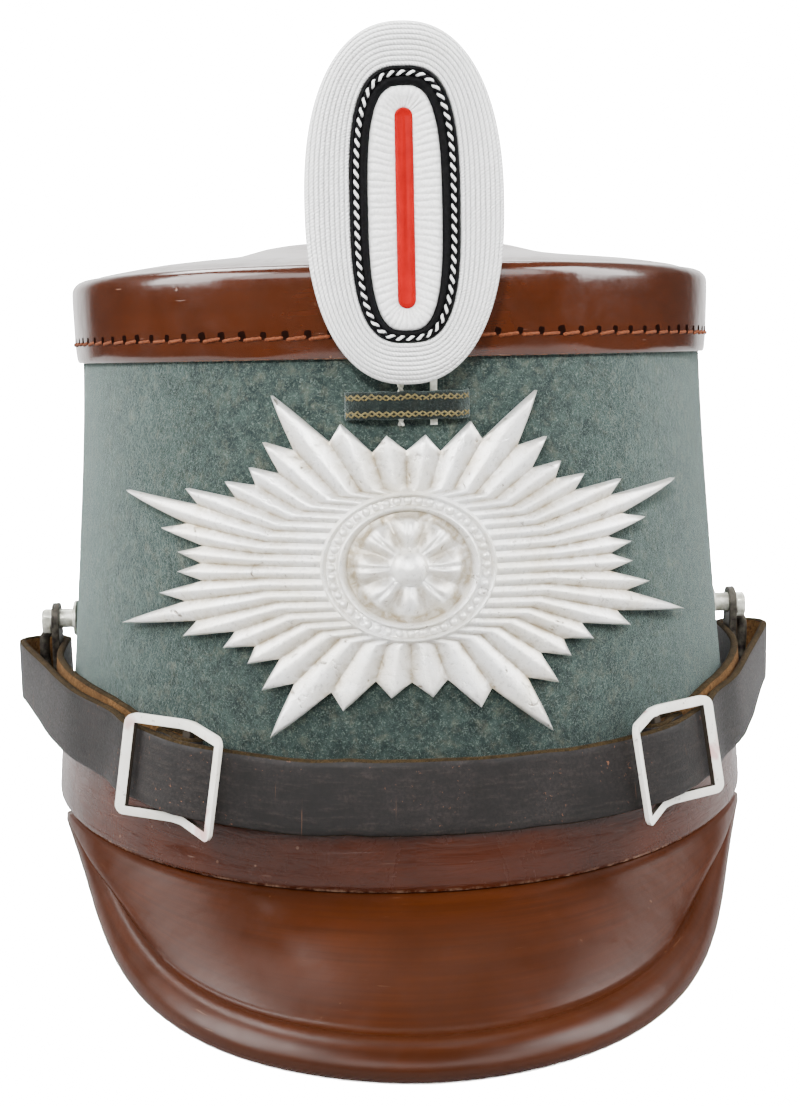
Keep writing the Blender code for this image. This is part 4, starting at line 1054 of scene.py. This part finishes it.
# ---- Lugs and side posts ----
# A light metal post with a flat foot holds each side of the strap. A browned iron plate hangs on
# it by an eye, and its wire bail carries the strap's fold.
POST_HEIGHT, POST_RADIUS, POST_FOOT_GAP, NUB_DROP = 67.5 * MM, 2.5 * MM, 0.75 * MM, 1.4 * MM
NUB_THICKNESS = 2.2 * MM
LUG_INNER_X, LUG_THICKNESS, LUG_HALF_WIDTH = 87.4 * MM, 1.8 * MM, 4.1 * MM
LUG_EYE_RADIUS, LUG_HOLE_RADIUS, LUG_FOOT_HEIGHT = 4.1 * MM, 2.8 * MM, 43.4 * MM
LUG_SLANT, LUG_CORNER = math.radians(4.0), 1.6 * MM
BAIL_RADIUS, BAIL_X, BAIL_Y, BAIL_ROOT_Y = 1.3 * MM, 92.4 * MM, 4.2 * MM, 2.4 * MM
BAIL_LOW, BAIL_HIGH, BAIL_BEND = 44.0 * MM, 63.6 * MM, 2.2 * MM


def metal_finish(name, dark, pale, metallic, low_rough, high_rough):
    """Handled metal with darker stains and uneven polish."""
    material, tree, where = start_finish(name)
    marks = speckle(tree, where["Object"], 500.0, 5.0, 0.65)
    clouds = speckle(tree, where["Object"], 500.0 / 6, 3.0)
    colour = layered(tree, dark, (marks, (0.38, 0.62), pale), (clouds, (0.45, 0.75, 0.0, 0.6), dark))
    close_finish(tree, {
        "Base Color": colour, "Metallic": metallic,
        "Roughness": span_of(tree, marks, 0.3, 0.7, low_rough, high_rough),
    }, (0.25, 0.0002, marks))
    return material


post_metal = metal_finish("post metal", tint(184, 184, 168), tint(240, 240, 230), 0.5, 0.28, 0.5)
dark_metal = metal_finish("browned iron", tint(44, 40, 36), tint(86, 82, 74), 0.7, 0.38, 0.65)
POST_FOOT = (
    # place along the post from its foot, radius, in millimetres
    (0.0, 4.3), (0.15, 4.6), (0.7, 4.6), (0.9, 4.3), (0.9, 2.9), (1.1, 2.55), (1.5, 2.5),
)
foot_x = body_point(math.pi / 2, POST_HEIGHT).x + POST_FOOT_GAP
nub_x = LUG_INNER_X + LUG_THICKNESS + 0.6 * MM
# place along the post, radius, and how much of the nub's drop below the post it has
post_steps = [(foot_x + x * MM, radius * MM, 0.0) for x, radius in POST_FOOT] + [
    (nub_x - 0.05 * MM, POST_RADIUS, 0.0), (nub_x, POST_RADIUS * 0.97, 1.0),
    (nub_x + 0.25 * MM, POST_RADIUS, 1.0), (nub_x + NUB_THICKNESS - 0.4 * MM, POST_RADIUS, 1.0),
    (nub_x + NUB_THICKNESS, POST_RADIUS * 0.8, 1.0),
]


def arc(centre_x, centre_y, radius, start, sweep, steps):
    """Points of an arc, its angles in degrees."""
    angles = (math.radians(start + sweep * k / steps) for k in range(steps + 1))
    return [Vector((centre_x + radius * math.cos(a), centre_y + radius * math.sin(a), 0.0)) for a in angles]


foot = LUG_FOOT_HEIGHT - POST_HEIGHT + LUG_CORNER
lug_outline = arc(0.0, 0.0, LUG_EYE_RADIUS, -8, 196, 28)
lug_outline += arc(LUG_CORNER - LUG_HALF_WIDTH, foot, LUG_CORNER, 180, 90, 6)
lug_outline += arc(LUG_HALF_WIDTH - LUG_CORNER, foot, LUG_CORNER, 270, 90, 6)
lug_hole = arc(0.0, 0.0, LUG_HOLE_RADIUS, 0, 360, 32)[:-1]
tilt = Matrix.Translation((0.0, AXIS_Y, POST_HEIGHT)) @ Matrix.Rotation(LUG_SLANT, 4, "X")
root_x, bend_x, bend_y = LUG_INNER_X + LUG_THICKNESS / 2, BAIL_X - 2.0 * MM, BAIL_Y - 0.6 * MM
bail_route = smooth_path([Vector(place) for place in (
    (root_x, BAIL_ROOT_Y, BAIL_HIGH), (bend_x, bend_y, BAIL_HIGH), (BAIL_X, BAIL_Y, BAIL_HIGH - BAIL_BEND),
    (BAIL_X, BAIL_Y, (BAIL_LOW + BAIL_HIGH) / 2), (BAIL_X, BAIL_Y, BAIL_LOW + BAIL_BEND),
    (bend_x, bend_y, BAIL_LOW), (root_x, BAIL_ROOT_Y, BAIL_LOW),
)], 6)
for side_name, side in (("left", 1.0), ("right", -1.0)):
    rows = []
    for x, radius, drop in post_steps:
        row = []
        for a in turns(40):
            level = radius * math.sin(a) - (drop * NUB_DROP if math.sin(a) < 0.0 else 0.0)
            row.append(Vector((side * x, AXIS_Y + radius * math.cos(a), POST_HEIGHT + level)))
        rows.append(row)
    post = skin(f"side_post_{side_name}_turned", rows, caps=True, sharp=45)
    fit_out(post, "post_metal", f"side_post_{side_name}", finish=post_metal)

    lug = flat_frame(f"strap_lug_{side_name}_plate", [lug_outline, lug_hole], [], LUG_THICKNESS)
    soften(lug, 0.35 * MM)
    for vert in lug.data.vertices:
        y, z, x = vert.co
        vert.co = tilt @ Vector((side * (LUG_INNER_X + x), y, z))
    rows = []
    for i, point in enumerate(bail_route):
        tangent = tangent_at(bail_route, i)
        u = Vector((0.35, -1.0, 0.0)).cross(tangent).normalized()
        v = tangent.cross(u).normalized()
        ring = [point + BAIL_RADIUS * (u * math.cos(a) + v * math.sin(a)) for a in turns(20)]
        rows.append([tilt @ Vector((side * spot.x, spot.y, spot.z - POST_HEIGHT)) for spot in ring])
    bail = skin(f"strap_lug_{side_name}_bail", rows, caps=True)
    for part in (lug, bail):
        turn_out(part)
        fit_out(part, "dark_metal", finish=dark_metal)
    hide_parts(f"strap_lug_{side_name}")


# ---- Front plate ----
# A light plate of cast metal, bent to the body: forty fluted rays in eight points, round a boss
# with eight petals and a ring of pearls. The casting is matt, pitted and a little stained.
PLATE_HEIGHT, PLATE_HALF_WIDTH, PLATE_HALF_HEIGHT = 90.5 * MM, 80.0 * MM, 41.0 * MM
PLATE_BEND_RADIUS, PLATE_STAND_OFF, TIP_STAND_OFF = 82.0 * MM, 0.5 * MM, 1.9 * MM
PLATE_POINTS, RAY_LENGTHS, RAY_NOTCH, RAY_ROOT = 8, (0.66, 0.74, 0.94, 0.74, 0.66), 0.08, 0.40
VALLEY_RELIEF, RIDGE_RELIEF, TIP_RELIEF = 1.0 * MM, 2.3 * MM, 1.1 * MM
HALF_RAY_STEPS = 4
ROSETTE = (
    # half width, half height, relief, extra relief in the middle of a petal, in millimetres
    (0.05, 0.05, 6.6, 0.0), (0.8, 0.8, 6.5, 0.0), (1.6, 1.6, 6.3, 0.0), (2.4, 2.4, 5.8, 0.0),
    (3.0, 3.0, 5.2, 0.0), (3.5, 3.5, 4.3, 0.0), (3.8, 3.8, 3.3, 0.0), (4.2, 4.2, 2.9, 0.5),
    (5.0, 5.0, 2.7, 1.5), (6.2, 6.2, 2.6, 2.2), (7.6, 7.5, 2.5, 2.4), (8.9, 8.7, 2.3, 2.0),
    (10.0, 9.6, 2.1, 1.4), (10.9, 10.3, 1.9, 0.7), (11.6, 10.8, 1.7, 0.2), (12.8, 11.4, 1.7, 0.0),
    (13.3, 11.7, 2.4, 0.0), (13.7, 12.0, 3.3, 0.0), (14.1, 12.3, 3.5, 0.0), (14.5, 12.6, 3.2, 0.0),
    (14.8, 12.8, 2.5, 0.0), (17.0, 14.5, 2.5, 0.0), (17.3, 14.7, 3.2, 0.0), (17.6, 15.0, 3.4, 0.0),
    (18.0, 15.3, 3.0, 0.0), (18.4, 15.6, 2.0, 0.0),
)


def plate_point(x, z, relief):
    """Point of the front plate, from its flat drawing bent to the body."""
    reach = math.hypot(x / PLATE_HALF_WIDTH, z / PLATE_HALF_HEIGHT)
    share = min(max((reach - RAY_ROOT) / (1.0 - RAY_ROOT), 0.0), 1.0)
    stand_off = PLATE_STAND_OFF + (TIP_STAND_OFF - PLATE_STAND_OFF) * share
    return body_point(x / PLATE_BEND_RADIUS, PLATE_HEIGHT + z, stand_off + relief)


ray_count = PLATE_POINTS * len(RAY_LENGTHS)
lengths = [RAY_LENGTHS[i % len(RAY_LENGTHS)] for i in range(ray_count)]
lines = 2 * ray_count * HALF_RAY_STEPS


def ray_end(k):
    """Length of the plate along the k-th line, a ridge if k is odd and else a valley."""
    here, before = lengths[(k // 2) % ray_count], lengths[(k // 2 - 1) % ray_count]
    return here if k % 2 else min(here, before) - RAY_NOTCH


def ray_line(line):
    """Length of the plate along a fine line, and how near that line is to a ridge, 0 to 1."""
    k, part = divmod(line, HALF_RAY_STEPS)
    t = part / HALF_RAY_STEPS
    ridge = t if k % 2 == 0 else 1.0 - t
    valley_end = ray_end(k if k % 2 == 0 else k + 1)
    tip_end = ray_end(k + 1 if k % 2 == 0 else k)
    return valley_end + (tip_end - valley_end) * ridge ** 1.15, ridge


def around(half_width, half_height, line, relief):
    """Point of the plate on a flat oval, at a fine line."""
    angle = math.tau * line / lines
    return plate_point(half_width * math.cos(angle), half_height * math.sin(angle), relief)


def ray_row(part, flat=False):
    """Row of the rays at a share of their length, or of the flat back behind them."""
    fall = max(0.0, (part - 0.86) / 0.14) ** 2
    row = []
    for line in range(lines):
        end, ridge = ray_line(line)
        reach = RAY_ROOT + (end - RAY_ROOT) * part
        relief = VALLEY_RELIEF + (RIDGE_RELIEF - VALLEY_RELIEF) * (1.0 - (1.0 - ridge) ** 1.5)
        relief -= (relief - TIP_RELIEF) * fall * 0.9
        row.append(around(PLATE_HALF_WIDTH * reach, PLATE_HALF_HEIGHT * reach, line, 0.0 if flat else relief))
    return row


rows, depths = [], []
for half_width, half_height, relief, petal in ROSETTE:
    row = []
    for line in range(lines):
        wave = math.cos(math.tau * line / lines * PLATE_POINTS / 2) ** 2
        petal_relief = petal * (wave ** 0.7 - 0.35 * wave ** 12)
        row.append(around(half_width * MM, half_height * MM, line, (relief + petal_relief) * MM))
        depths.append(max((1.0 - wave) * min(petal, 1.0) * 0.7, 1.0 if relief < 2.0 else 0.0))
    rows.append(row)
for part in (0.0, 0.1, 0.25, 0.4, 0.55, 0.7, 0.82, 0.9, 0.96, 1.0):
    rows.append(ray_row(part))
    depths += [(1.0 - ray_line(line)[1]) ** 2 for line in range(lines)]
rows += [ray_row(part, flat=True) for part in (1.0, 0.6, 0.0)]
for share in (0.27, 0.14, 0.02):
    rows.append([around(PLATE_HALF_WIDTH * share, PLATE_HALF_HEIGHT * share, line, 0.0)
                 for line in range(lines)])
plate = skin("front_plate_casting", rows, caps=True, sharp=48)
# painted shade and dirt darken the plate where it is hollow, which the finish reads from here
hollow = plate.data.attributes.new("hollow", "FLOAT", "POINT")
hollow.data.foreach_set("value", depths + [0.0] * (len(plate.data.vertices) - len(depths)))

cast, tree, where = start_finish("cast metal")
sand = speckle(tree, where["Object"], 1100.0, 4.0, 0.7)
pits = speckle(tree, where["Object"], 420.0, 3.0, 0.6, 0.5)
cloud = speckle(tree, where["Object"], 75.0)
metal = layered(tree, tint(244, 244, 242), (cloud, (0.4, 0.72), tint(226, 221, 208)),
                (sand, (0.30, 0.46, 0.5, 0.0), tint(150, 148, 144)),
                (pits, (0.66, 0.74, 0.0, 0.85), tint(96, 82, 62)))
# the hollows are darkened with a dirt tint: painted shade and dirt together
sunk = add(tree, "ShaderNodeAttribute", attribute_name="hollow").outputs["Fac"]
hollow_shade_and_dirt = reckon(tree, "MULTIPLY", sunk, span_of(tree, pits, 0.35, 0.6, 0.35, 0.9))
metal = mixed(tree, hollow_shade_and_dirt, metal, tint(152, 136, 106))
close_finish(tree, {
    "Base Color": metal, "Metallic": 0.6, "Roughness": span_of(tree, sand, 0.3, 0.7, 0.30, 0.5),
}, (0.5, 0.0003, reckon(tree, "ADD", span_of(tree, pits, 0.62, 0.74, 0.0, -1.2), sand)))
fit_out(plate, "plate_metal", "front_plate", finish=cast)

PEARLS, PEARL_OVAL, PEARL_SEAT = 44, (15.9 * MM, 13.65 * MM), 2.6 * MM
pearl_rows = []
for k in range(6):
    lift = math.radians(-20 + 110 * k / 5)
    girth = 0.88 * math.cos(lift) if k < 5 else 0.02
    pearl_rows.append([
        Vector((girth * math.cos(a), girth * math.sin(a), 0.80 * math.sin(lift))) * MM for a in turns(10)])
places = []
for turn in turns(PEARLS):
    spot, ahead = (plate_point(PEARL_OVAL[0] * math.cos(a), PEARL_OVAL[1] * math.sin(a), PEARL_SEAT)
                   for a in (turn, turn + 0.02))
    _, out = oval_frame(body_size(spot.z), spot.x / PLATE_HALF_WIDTH)
    places.append((spot, (ahead - spot).normalized(), out))
pearl = skin("pearl", pearl_rows, caps=True, sharp=80)
pearls = lay_rows("front_plate_pearls", places, pearl, cast, 0.4, 0.05, 3)
fit_out(pearls, "plate_metal")


# ---- Cockade ----
# An oval of wound cords on a metal back: nine rounds of silver cord, a black ring edged with a
# black and white twist, a padded field of white thread, and a glossy red bar in the middle.
COCKADE_X, COCKADE_HEIGHT, COCKADE_BACK_Y = 0.5 * MM, 164.3 * MM, AXIS_Y - 92.2 * MM
# half width, half height, drop of its middle (mm) and power of each oval; a slot has no power
RIM_OVAL, RING_OVAL = (20.3, 36.3, 0.0, 2.3), (11.0, 27.2, 0.5, 3.0)
FIELD_OVAL, BAR_SLOT = (7.5, 24.3, 1.2, 3.0), (1.85, 19.9, 1.1, None)
COCKADE_SEAT = 1.5                  # millimetres from the back's back face to the cords' seat


def oval_row(shape, depth, count, trim=0.0):
    """Upright loop in front of the crown: an oval of a given power, or a slot with round ends."""
    half_width, half_height = shape[0] * MM - trim, shape[1] * MM - trim
    middle = COCKADE_HEIGHT - shape[2] * MM
    row = []
    for a in turns(count):
        c, s = math.cos(a), math.sin(a)
        if shape[3]:
            x, z = half_width * rooted(c, 2.0 / shape[3]), half_height * rooted(s, 2.0 / shape[3])
        else:
            end = 0.0 if abs(s) < 1e-6 else math.copysign(half_height - half_width, s)
            x, z = half_width * c, half_width * s + end
        row.append(Vector((COCKADE_X + x, COCKADE_BACK_Y - depth * MM, middle + z)))
    return row


def even_row(row, count):
    """The same closed loop with its points spread evenly."""
    reach = [0.0]
    for i in range(len(row)):
        reach.append(reach[-1] + (row[(i + 1) % len(row)] - row[i]).length)
    spread, i = [], 0
    for k in range(count):
        goal = reach[-1] * k / count
        while reach[i + 1] < goal:
            i += 1
        t = (goal - reach[i]) / max(reach[i + 1] - reach[i], 1e-9)
        spread.append(row[i].lerp(row[(i + 1) % len(row)], t))
    return spread


def between(outer, inner, share):
    return tuple(a + (b - a) * share for a, b in zip(outer, inner))


back_rows = [oval_row(RIM_OVAL, depth, 96, trim * MM)
             for depth, trim in ((0.0, 0.9), (0.25, 0.6), (0.95, 0.6), (1.2, 0.9))]
cockade_back = skin("cockade_back_plate", back_rows, caps=True, sharp=40)
fit_out(cockade_back, "post_metal", "cockade_back", finish=post_metal)

CORD_ROUNDS, CORD_STEPS, CORD_POINTS = 9, 6, 288
silver, tree, where = start_finish("silver cord")
split = add(tree, "ShaderNodeSeparateXYZ", {0: where["UV"]}).outputs
# the second coordinate counts the rounds, so its fraction runs across one cord
local = reckon(tree, "FRACT", split[1])
strand = reckon(tree, "MULTIPLY_ADD", split[0], 2700.0, reckon(tree, "MULTIPLY", local, 1.6))
strand = reckon(tree, "PINGPONG", strand, 1.0)
fibre = speckle(tree, where["Object"], 2200.0, 2.0)
tarnish = speckle(tree, where["Object"], 110.0)
# the grooves between the rounds are painted grey, as painted shade
from_crest_to_groove_shade = reckon(tree, "ABSOLUTE", reckon(tree, "ADD", local, -0.5))
metal = layered(tree, tint(232, 232, 230), (strand, (0.05, 0.5), tint(250, 250, 250)),
                (from_crest_to_groove_shade, (0.30, 0.48, 0.0, 0.6), tint(160, 160, 160)),
                (tarnish, (0.55, 0.8, 0.0, 0.3), tint(228, 225, 216)))
close_finish(tree, {"Base Color": metal, "Roughness": 0.5},
             (0.6, 0.0003, reckon(tree, "MULTIPLY_ADD", fibre, 0.3, strand)))

rim_rows = [oval_row(RIM_OVAL, COCKADE_SEAT, CORD_POINTS, 0.1 * MM),
            oval_row(RIM_OVAL, COCKADE_SEAT + 0.6, CORD_POINTS)]
rounds = [0.0, 0.0]
for n in range(CORD_ROUNDS * CORD_STEPS + 1):
    share = n / (CORD_ROUNDS * CORD_STEPS)
    rise = 1.4 + 2.8 * math.sin(min(share / 0.4, 1.0) * math.pi / 2) ** 0.8
    rise += max(0.0, (share - 0.4) / 0.6) * 0.3
    step = n % CORD_STEPS
    crest = math.sin(math.pi * step / CORD_STEPS) ** 0.7 if step else 0.0
    shape = between(RIM_OVAL, RING_OVAL, share * 0.985)
    rim_rows.append(oval_row(shape, COCKADE_SEAT + rise - 0.55 + 0.55 * crest, CORD_POINTS))
    rounds.append(n / CORD_STEPS)
rim_rows.append(oval_row(RING_OVAL, COCKADE_SEAT, CORD_POINTS, -0.3 * MM))
rim = skin("cockade_rim_cords", rim_rows, ring=True, sharp=60)
uv = rim.data.uv_layers[0].data
for loop in rim.data.loops:
    row = loop.vertex_index // CORD_POINTS
    uv[loop.index].uv.y = rounds[row] if row < len(rounds) else CORD_ROUNDS
fit_out(rim, "silver_cord", "cockade_rim", finish=silver)

black = fibre_finish("black cord", tint(2, 2, 3), tint(13, 12, 15), (1800.0, 4.0, 0.7), (0.4, 0.7),
                     (0.6, 0.0003), {"Roughness": 0.7, "Specular IOR Level": 0.08})
white = fibre_finish("white thread", tint(226, 226, 225), tint(248, 248, 247), (2000.0, 3.0), (0.35, 0.6),
                     (0.35, 0.0002), {"Roughness": 0.55, "Sheen Weight": 0.2})

RING_PROFILE = (
    # share of the way from the ring's outer oval to the field, depth from the seat in millimetres
    (0.0, 0.0), (0.0, 4.3), (0.04, 4.75), (0.10, 4.9), (0.17, 4.7), (0.22, 4.3), (0.48, 4.3),
    (0.53, 4.7), (0.62, 5.1), (0.72, 5.2), (0.84, 5.1), (0.94, 4.75), (1.0, 4.2), (1.0, 0.0),
)
ring_rows = []
for share, depth in RING_PROFILE:
    row = oval_row(between(RING_OVAL, FIELD_OVAL, share), COCKADE_SEAT + depth, 260)
    if depth > 4.0:
        for point in row:
            point.y += uneven(point, 0.0012, 0.10 * MM)
    ring_rows.append(row)
ring = skin("cockade_ring_black", ring_rows, ring=True, sharp=60)
fit_out(ring, "black_cord", "cockade_ring", finish=black)

twisting, taken = start_group("GeometryNodeTree", "twisted strand", {
    "Geometry": ("NodeSocketGeometry", None), "Strand Radius": ("NodeSocketFloat", 0.0003),
    "Twist Radius": ("NodeSocketFloat", 0.0003), "Turns": ("NodeSocketFloat", 10.0),
    "Phase": ("NodeSocketFloat", 0.0), "Steps": ("NodeSocketInt", 100),
    "Sides": ("NodeSocketInt", 6), "Finish": ("NodeSocketMaterial", None),
}, {"Geometry": "NodeSocketGeometry"})
path = add(twisting, "GeometryNodeMeshToCurve", {"Mesh": taken["Geometry"]})
path = add(twisting, "GeometryNodeResampleCurve", {"Curve": path, "Count": taken["Steps"]})
factor = add(twisting, "GeometryNodeSplineParameter").outputs["Factor"]
turned = reckon(twisting, "MULTIPLY", taken["Turns"], math.tau)
angle = reckon(twisting, "MULTIPLY_ADD", turned, factor, taken["Phase"])


def vector_sum(operation, inputs):
    return add(twisting, "ShaderNodeVectorMath", inputs, operation=operation)


FORWARDS = (0.0, -1.0, 0.0)
tangent = add(twisting, "GeometryNodeInputTangent")
sideways = vector_sum("CROSS_PRODUCT", {0: tangent, 1: FORWARDS})
side_move = vector_sum("SCALE", {0: sideways, "Scale": reckon(twisting, "COSINE", angle)})
front_move = vector_sum("SCALE", {0: FORWARDS, "Scale": reckon(twisting, "SINE", angle)})
move = vector_sum("SCALE", {
    0: vector_sum("ADD", {0: side_move, 1: front_move}), "Scale": taken["Twist Radius"]})
path = add(twisting, "GeometryNodeSetPosition", {"Geometry": path, "Offset": move})
profile = add(twisting, "GeometryNodeCurvePrimitiveCircle", {
    "Radius": taken["Strand Radius"], "Resolution": taken["Sides"]})
strand = add(twisting, "GeometryNodeCurveToMesh", {
    "Curve": path, "Profile Curve": profile, "Fill Caps": True})
strand = add(twisting, "GeometryNodeRealizeInstances", {"Geometry": strand})
strand = add(twisting, "GeometryNodeSetMaterial", {"Geometry": strand, "Material": taken["Finish"]})
add(twisting, "NodeGroupOutput", {"Geometry": strand})


def twist_strand(name, points, closed, finish, **values):
    """One strand of a twist along a path."""
    count = len(points)
    edges = [(i, (i + 1) % count) for i in range(count if closed else count - 1)]
    values = {key.replace("_", " ").title(): value for key, value in values.items()}
    return grown(name, points, edges, twisting, {"Finish": finish, **values})


cord_path = even_row(oval_row(between(RING_OVAL, FIELD_OVAL, 0.35), COCKADE_SEAT + 4.75, 400), 260)
for name, finish, slot, phase in (("cockade_twist_black", black, "black_cord", 0.0),
                                  ("cockade_twist_white", white, "white_thread", math.pi)):
    strand = twist_strand(name, cord_path, True, finish, strand_radius=0.31 * MM,
                          twist_radius=0.27 * MM, turns=62.0, phase=phase, steps=744, sides=7)
    fit_out(strand, slot)

THREADS, THREAD_STEPS = 76, 10
FIELD_PROFILE = (
    # share of the way from the field's edge to the bar, depth from the seat, rib height
    (0.0, 3.2, 0.0), (0.0, 4.2, 0.15), (0.06, 4.75, 0.35), (0.16, 5.15, 0.48), (0.30, 5.35, 0.55),
    (0.45, 5.25, 0.52), (0.60, 4.95, 0.48), (0.75, 4.65, 0.40), (0.90, 4.45, 0.25), (1.0, 4.2, 0.05),
    (1.0, 3.2, 0.0),
)
count = THREADS * THREAD_STEPS
outer_row = even_row(oval_row(FIELD_OVAL, 0.0, 2000, 0.05 * MM), count)
inner_row = []
slot_half = (BAR_SLOT[1] - BAR_SLOT[0]) * MM
field_middle, bar_middle = COCKADE_HEIGHT - FIELD_OVAL[2] * MM, COCKADE_HEIGHT - BAR_SLOT[2] * MM
for i, point in enumerate(outer_row):
    x, z = point.x - COCKADE_X, point.z - field_middle
    axis_z = max(-slot_half, min(slot_half, z * slot_half / (FIELD_OVAL[1] * MM) * 1.16))
    away = Vector((x, 0.0, z - axis_z)).normalized()
    inner_row.append(Vector((COCKADE_X + away.x * BAR_SLOT[0] * MM, point.y,
                             bar_middle + axis_z + away.z * BAR_SLOT[0] * MM)))
field_rows = []
for share, depth, rib in FIELD_PROFILE:
    row = []
    for i in range(count):
        spot = outer_row[i].lerp(inner_row[i], share)
        wander = 0.35 * noise.noise(Vector((0.9 * i / THREAD_STEPS, share * 2.0, 5.0)))
        wave = abs(math.sin(math.pi * (i / THREAD_STEPS + wander))) ** 0.7
        row.append(spot + Vector((0.0, -(COCKADE_SEAT + depth - rib + rib * wave) * MM, 0.0)))
    field_rows.append(row)
field = skin("cockade_field_threads", field_rows, ring=True, sharp=70)
fit_out(field, "white_thread", "cockade_field", finish=white)

red = fibre_finish("red lacquer", tint(160, 0, 1), tint(140, 0, 1), (240.0, 3.0), (0.35, 0.7),
                   (0.15, 0.0002), {"Roughness": 0.4, "Specular IOR Level": 0.08})
BAR_PROFILE = (
    # trim of the slot's outline, depth from the seat, in millimetres
    (0.0, 3.0), (0.0, 4.2), (0.12, 4.55), (0.35, 4.8), (0.7, 4.92), (1.1, 4.9), (1.5, 4.86),
)
bar_rows = []
for trim, depth in BAR_PROFILE:
    row = oval_row(BAR_SLOT, COCKADE_SEAT + depth, 96, trim * MM)
    for point in row:
        from_end = (point.z - bar_middle - slot_half) / (1.5 * MM)
        point.y += 0.55 * MM * math.exp(-from_end ** 2) * min(trim / 0.7, 1.0)
    bar_rows.append(row)
bar = skin("cockade_bar_red", bar_rows, caps=True, sharp=50)
fit_out(bar, "red_lacquer", "cockade_bar", finish=red)


# ---- Prong and pocket ----
# A light strip and a twisted pair of wires hang from the cockade's back into a pocket, which is a
# strip of the same felt, sewn on with crossed olive stitches.
PRONG_LEGS, PRONG_TOP, PRONG_FOOT = (-1.4 * MM, 5.4 * MM), 138.0 * MM, 119.5 * MM
PRONG_SECTION = (
    # place across, depth from the front face, in millimetres
    (-0.75, 0.15), (-0.6, 0.0), (0.6, 0.0), (0.75, 0.15), (0.75, 0.75), (0.6, 0.9), (-0.6, 0.9),
    (-0.75, 0.75),
)
POCKET_HALF_WIDTH, POCKET_LOW, POCKET_HIGH, POCKET_BULGE = 13.5 * MM, 121.0 * MM, 126.4 * MM, 2.6 * MM
POCKET_SECTION = (
    # share of the strip's height, depth from its back in millimetres
    (0.02, 0.0), (0.5, 0.0), (0.98, 0.0), (1.04, 0.3), (1.0, 0.8), (0.9, 1.0), (0.5, 1.05),
    (0.1, 1.0), (0.0, 0.8), (-0.04, 0.3),
)
prong_front = COCKADE_BACK_Y + 0.3 * MM


def prong_y(z):
    """Front face of the prong: behind the cockade above, near the felt below."""
    low = AXIS_Y - body_size(POCKET_LOW)[1] - 1.2 * MM
    t = min(max((z / MM - 124.0) / 5.5, 0.0), 1.0)
    return low + (prong_front - low) * t * t * (3 - 2 * t)


heights = [PRONG_FOOT + (PRONG_TOP - PRONG_FOOT) * k / 24 for k in range(25)]
wire_x, strip_x = (COCKADE_X + x for x in PRONG_LEGS)
rows = [[Vector((strip_x + x * MM, prong_y(z) + depth * MM, z)) for x, depth in PRONG_SECTION]
        for z in heights]
fit_out(skin("prong_strip", rows, caps=True, sharp=35), "post_metal", "cockade_prong", finish=post_metal)
wire_path = [Vector((wire_x, prong_y(z) + 0.5 * MM, z)) for z in heights]
for k in range(2):
    wire = twist_strand(f"prong_wire_{k + 1}", wire_path, False, post_metal, strand_radius=0.36 * MM,
                        twist_radius=0.36 * MM, turns=5.5, phase=math.pi * k, steps=90, sides=8)
    fit_out(wire, "post_metal")
left_end, right_end = wire_x - 0.8 * MM, strip_x + 0.75 * MM
section = ((left_end, 0.0), (right_end, 0.0), (right_end, 0.9 * MM), (left_end, 0.9 * MM))
rows = [[Vector((x, prong_front + depth, z)) for x, depth in section]
        for z in (PRONG_TOP - 3.0 * MM, PRONG_TOP)]
fit_out(skin("prong_cross_piece", rows, caps=True, sharp=30), "post_metal", finish=post_metal)


def pocket_point(x, share, depth):
    """Point of the pocket strip: its place across, share of its height, and depth of its layer."""
    bulge = POCKET_BULGE * (1.0 - abs(x / POCKET_HALF_WIDTH) ** 5)
    height = POCKET_LOW + (POCKET_HIGH - POCKET_LOW) * share
    wander = uneven(Vector((x, share * 0.005, 0.3)), 0.003, 0.3 * MM)
    return body_point((x + COCKADE_X) / PLATE_BEND_RADIUS, height + wander, 0.3 * MM + bulge + depth)


rows = []
for k in range(61):
    x = POCKET_HALF_WIDTH * (2 * k / 60 - 1)
    rows.append([pocket_point(x, share, depth * MM) for share, depth in POCKET_SECTION])
pocket = skin("prong_pocket_strip", rows, caps=True, sharp=60)
# the pocket's felt is the body's felt made darker: painted shade under the plate and the cockade
felt_painted_shade = felt.copy()
felt_painted_shade.name = "pocket felt"
for node in felt_painted_shade.node_tree.nodes:
    if node.type == "GROUP":
        for key, colour in (("Deep", (10, 14, 14)), ("Ground", (22, 29, 27)), ("Pale", (48, 56, 52)),
                            ("Fleck", (44, 44, 36))):
            node.inputs[key].default_value = tint(*colour)
fit_out(pocket, "felt", "prong_pocket", finish=felt_painted_shade)

POCKET_STITCHES, STITCH_MARGIN = 18, 0.9 * MM
olive = fibre_finish("olive thread", tint(70, 60, 28), tint(114, 100, 54), (2400.0, 3.0), (0.35, 0.65),
                     (0.5, 0.0002), {"Roughness": 0.7})
stitch_half = POCKET_HALF_WIDTH - STITCH_MARGIN
for name, share, lean in (("upper_a", 0.80, 0.6), ("upper_b", 0.80, -0.6), ("lower_a", 0.16, 0.6),
                          ("lower_b", 0.16, -0.6)):
    places = []
    for i in range(POCKET_STITCHES):
        x = stitch_half * (2 * i / (POCKET_STITCHES - 1) - 1)
        spot, ahead = (pocket_point(place, share, 0.95 * MM) for place in (x, x + 0.2 * MM))
        run = (ahead - spot).normalized()
        out = Vector((run.y, -run.x, 0.0)).normalized()
        places.append((spot, (run * math.cos(lean) + Vector((0, 0, math.sin(lean)))).normalized(), out))
    thread = thread_piece(1.9 * MM, 0.17 * MM, 0.3 * MM, 6)
    fit_out(lay_rows(f"pocket_stitches_{name}", places, thread, olive, 0.12, 0.15, 5), "felt")
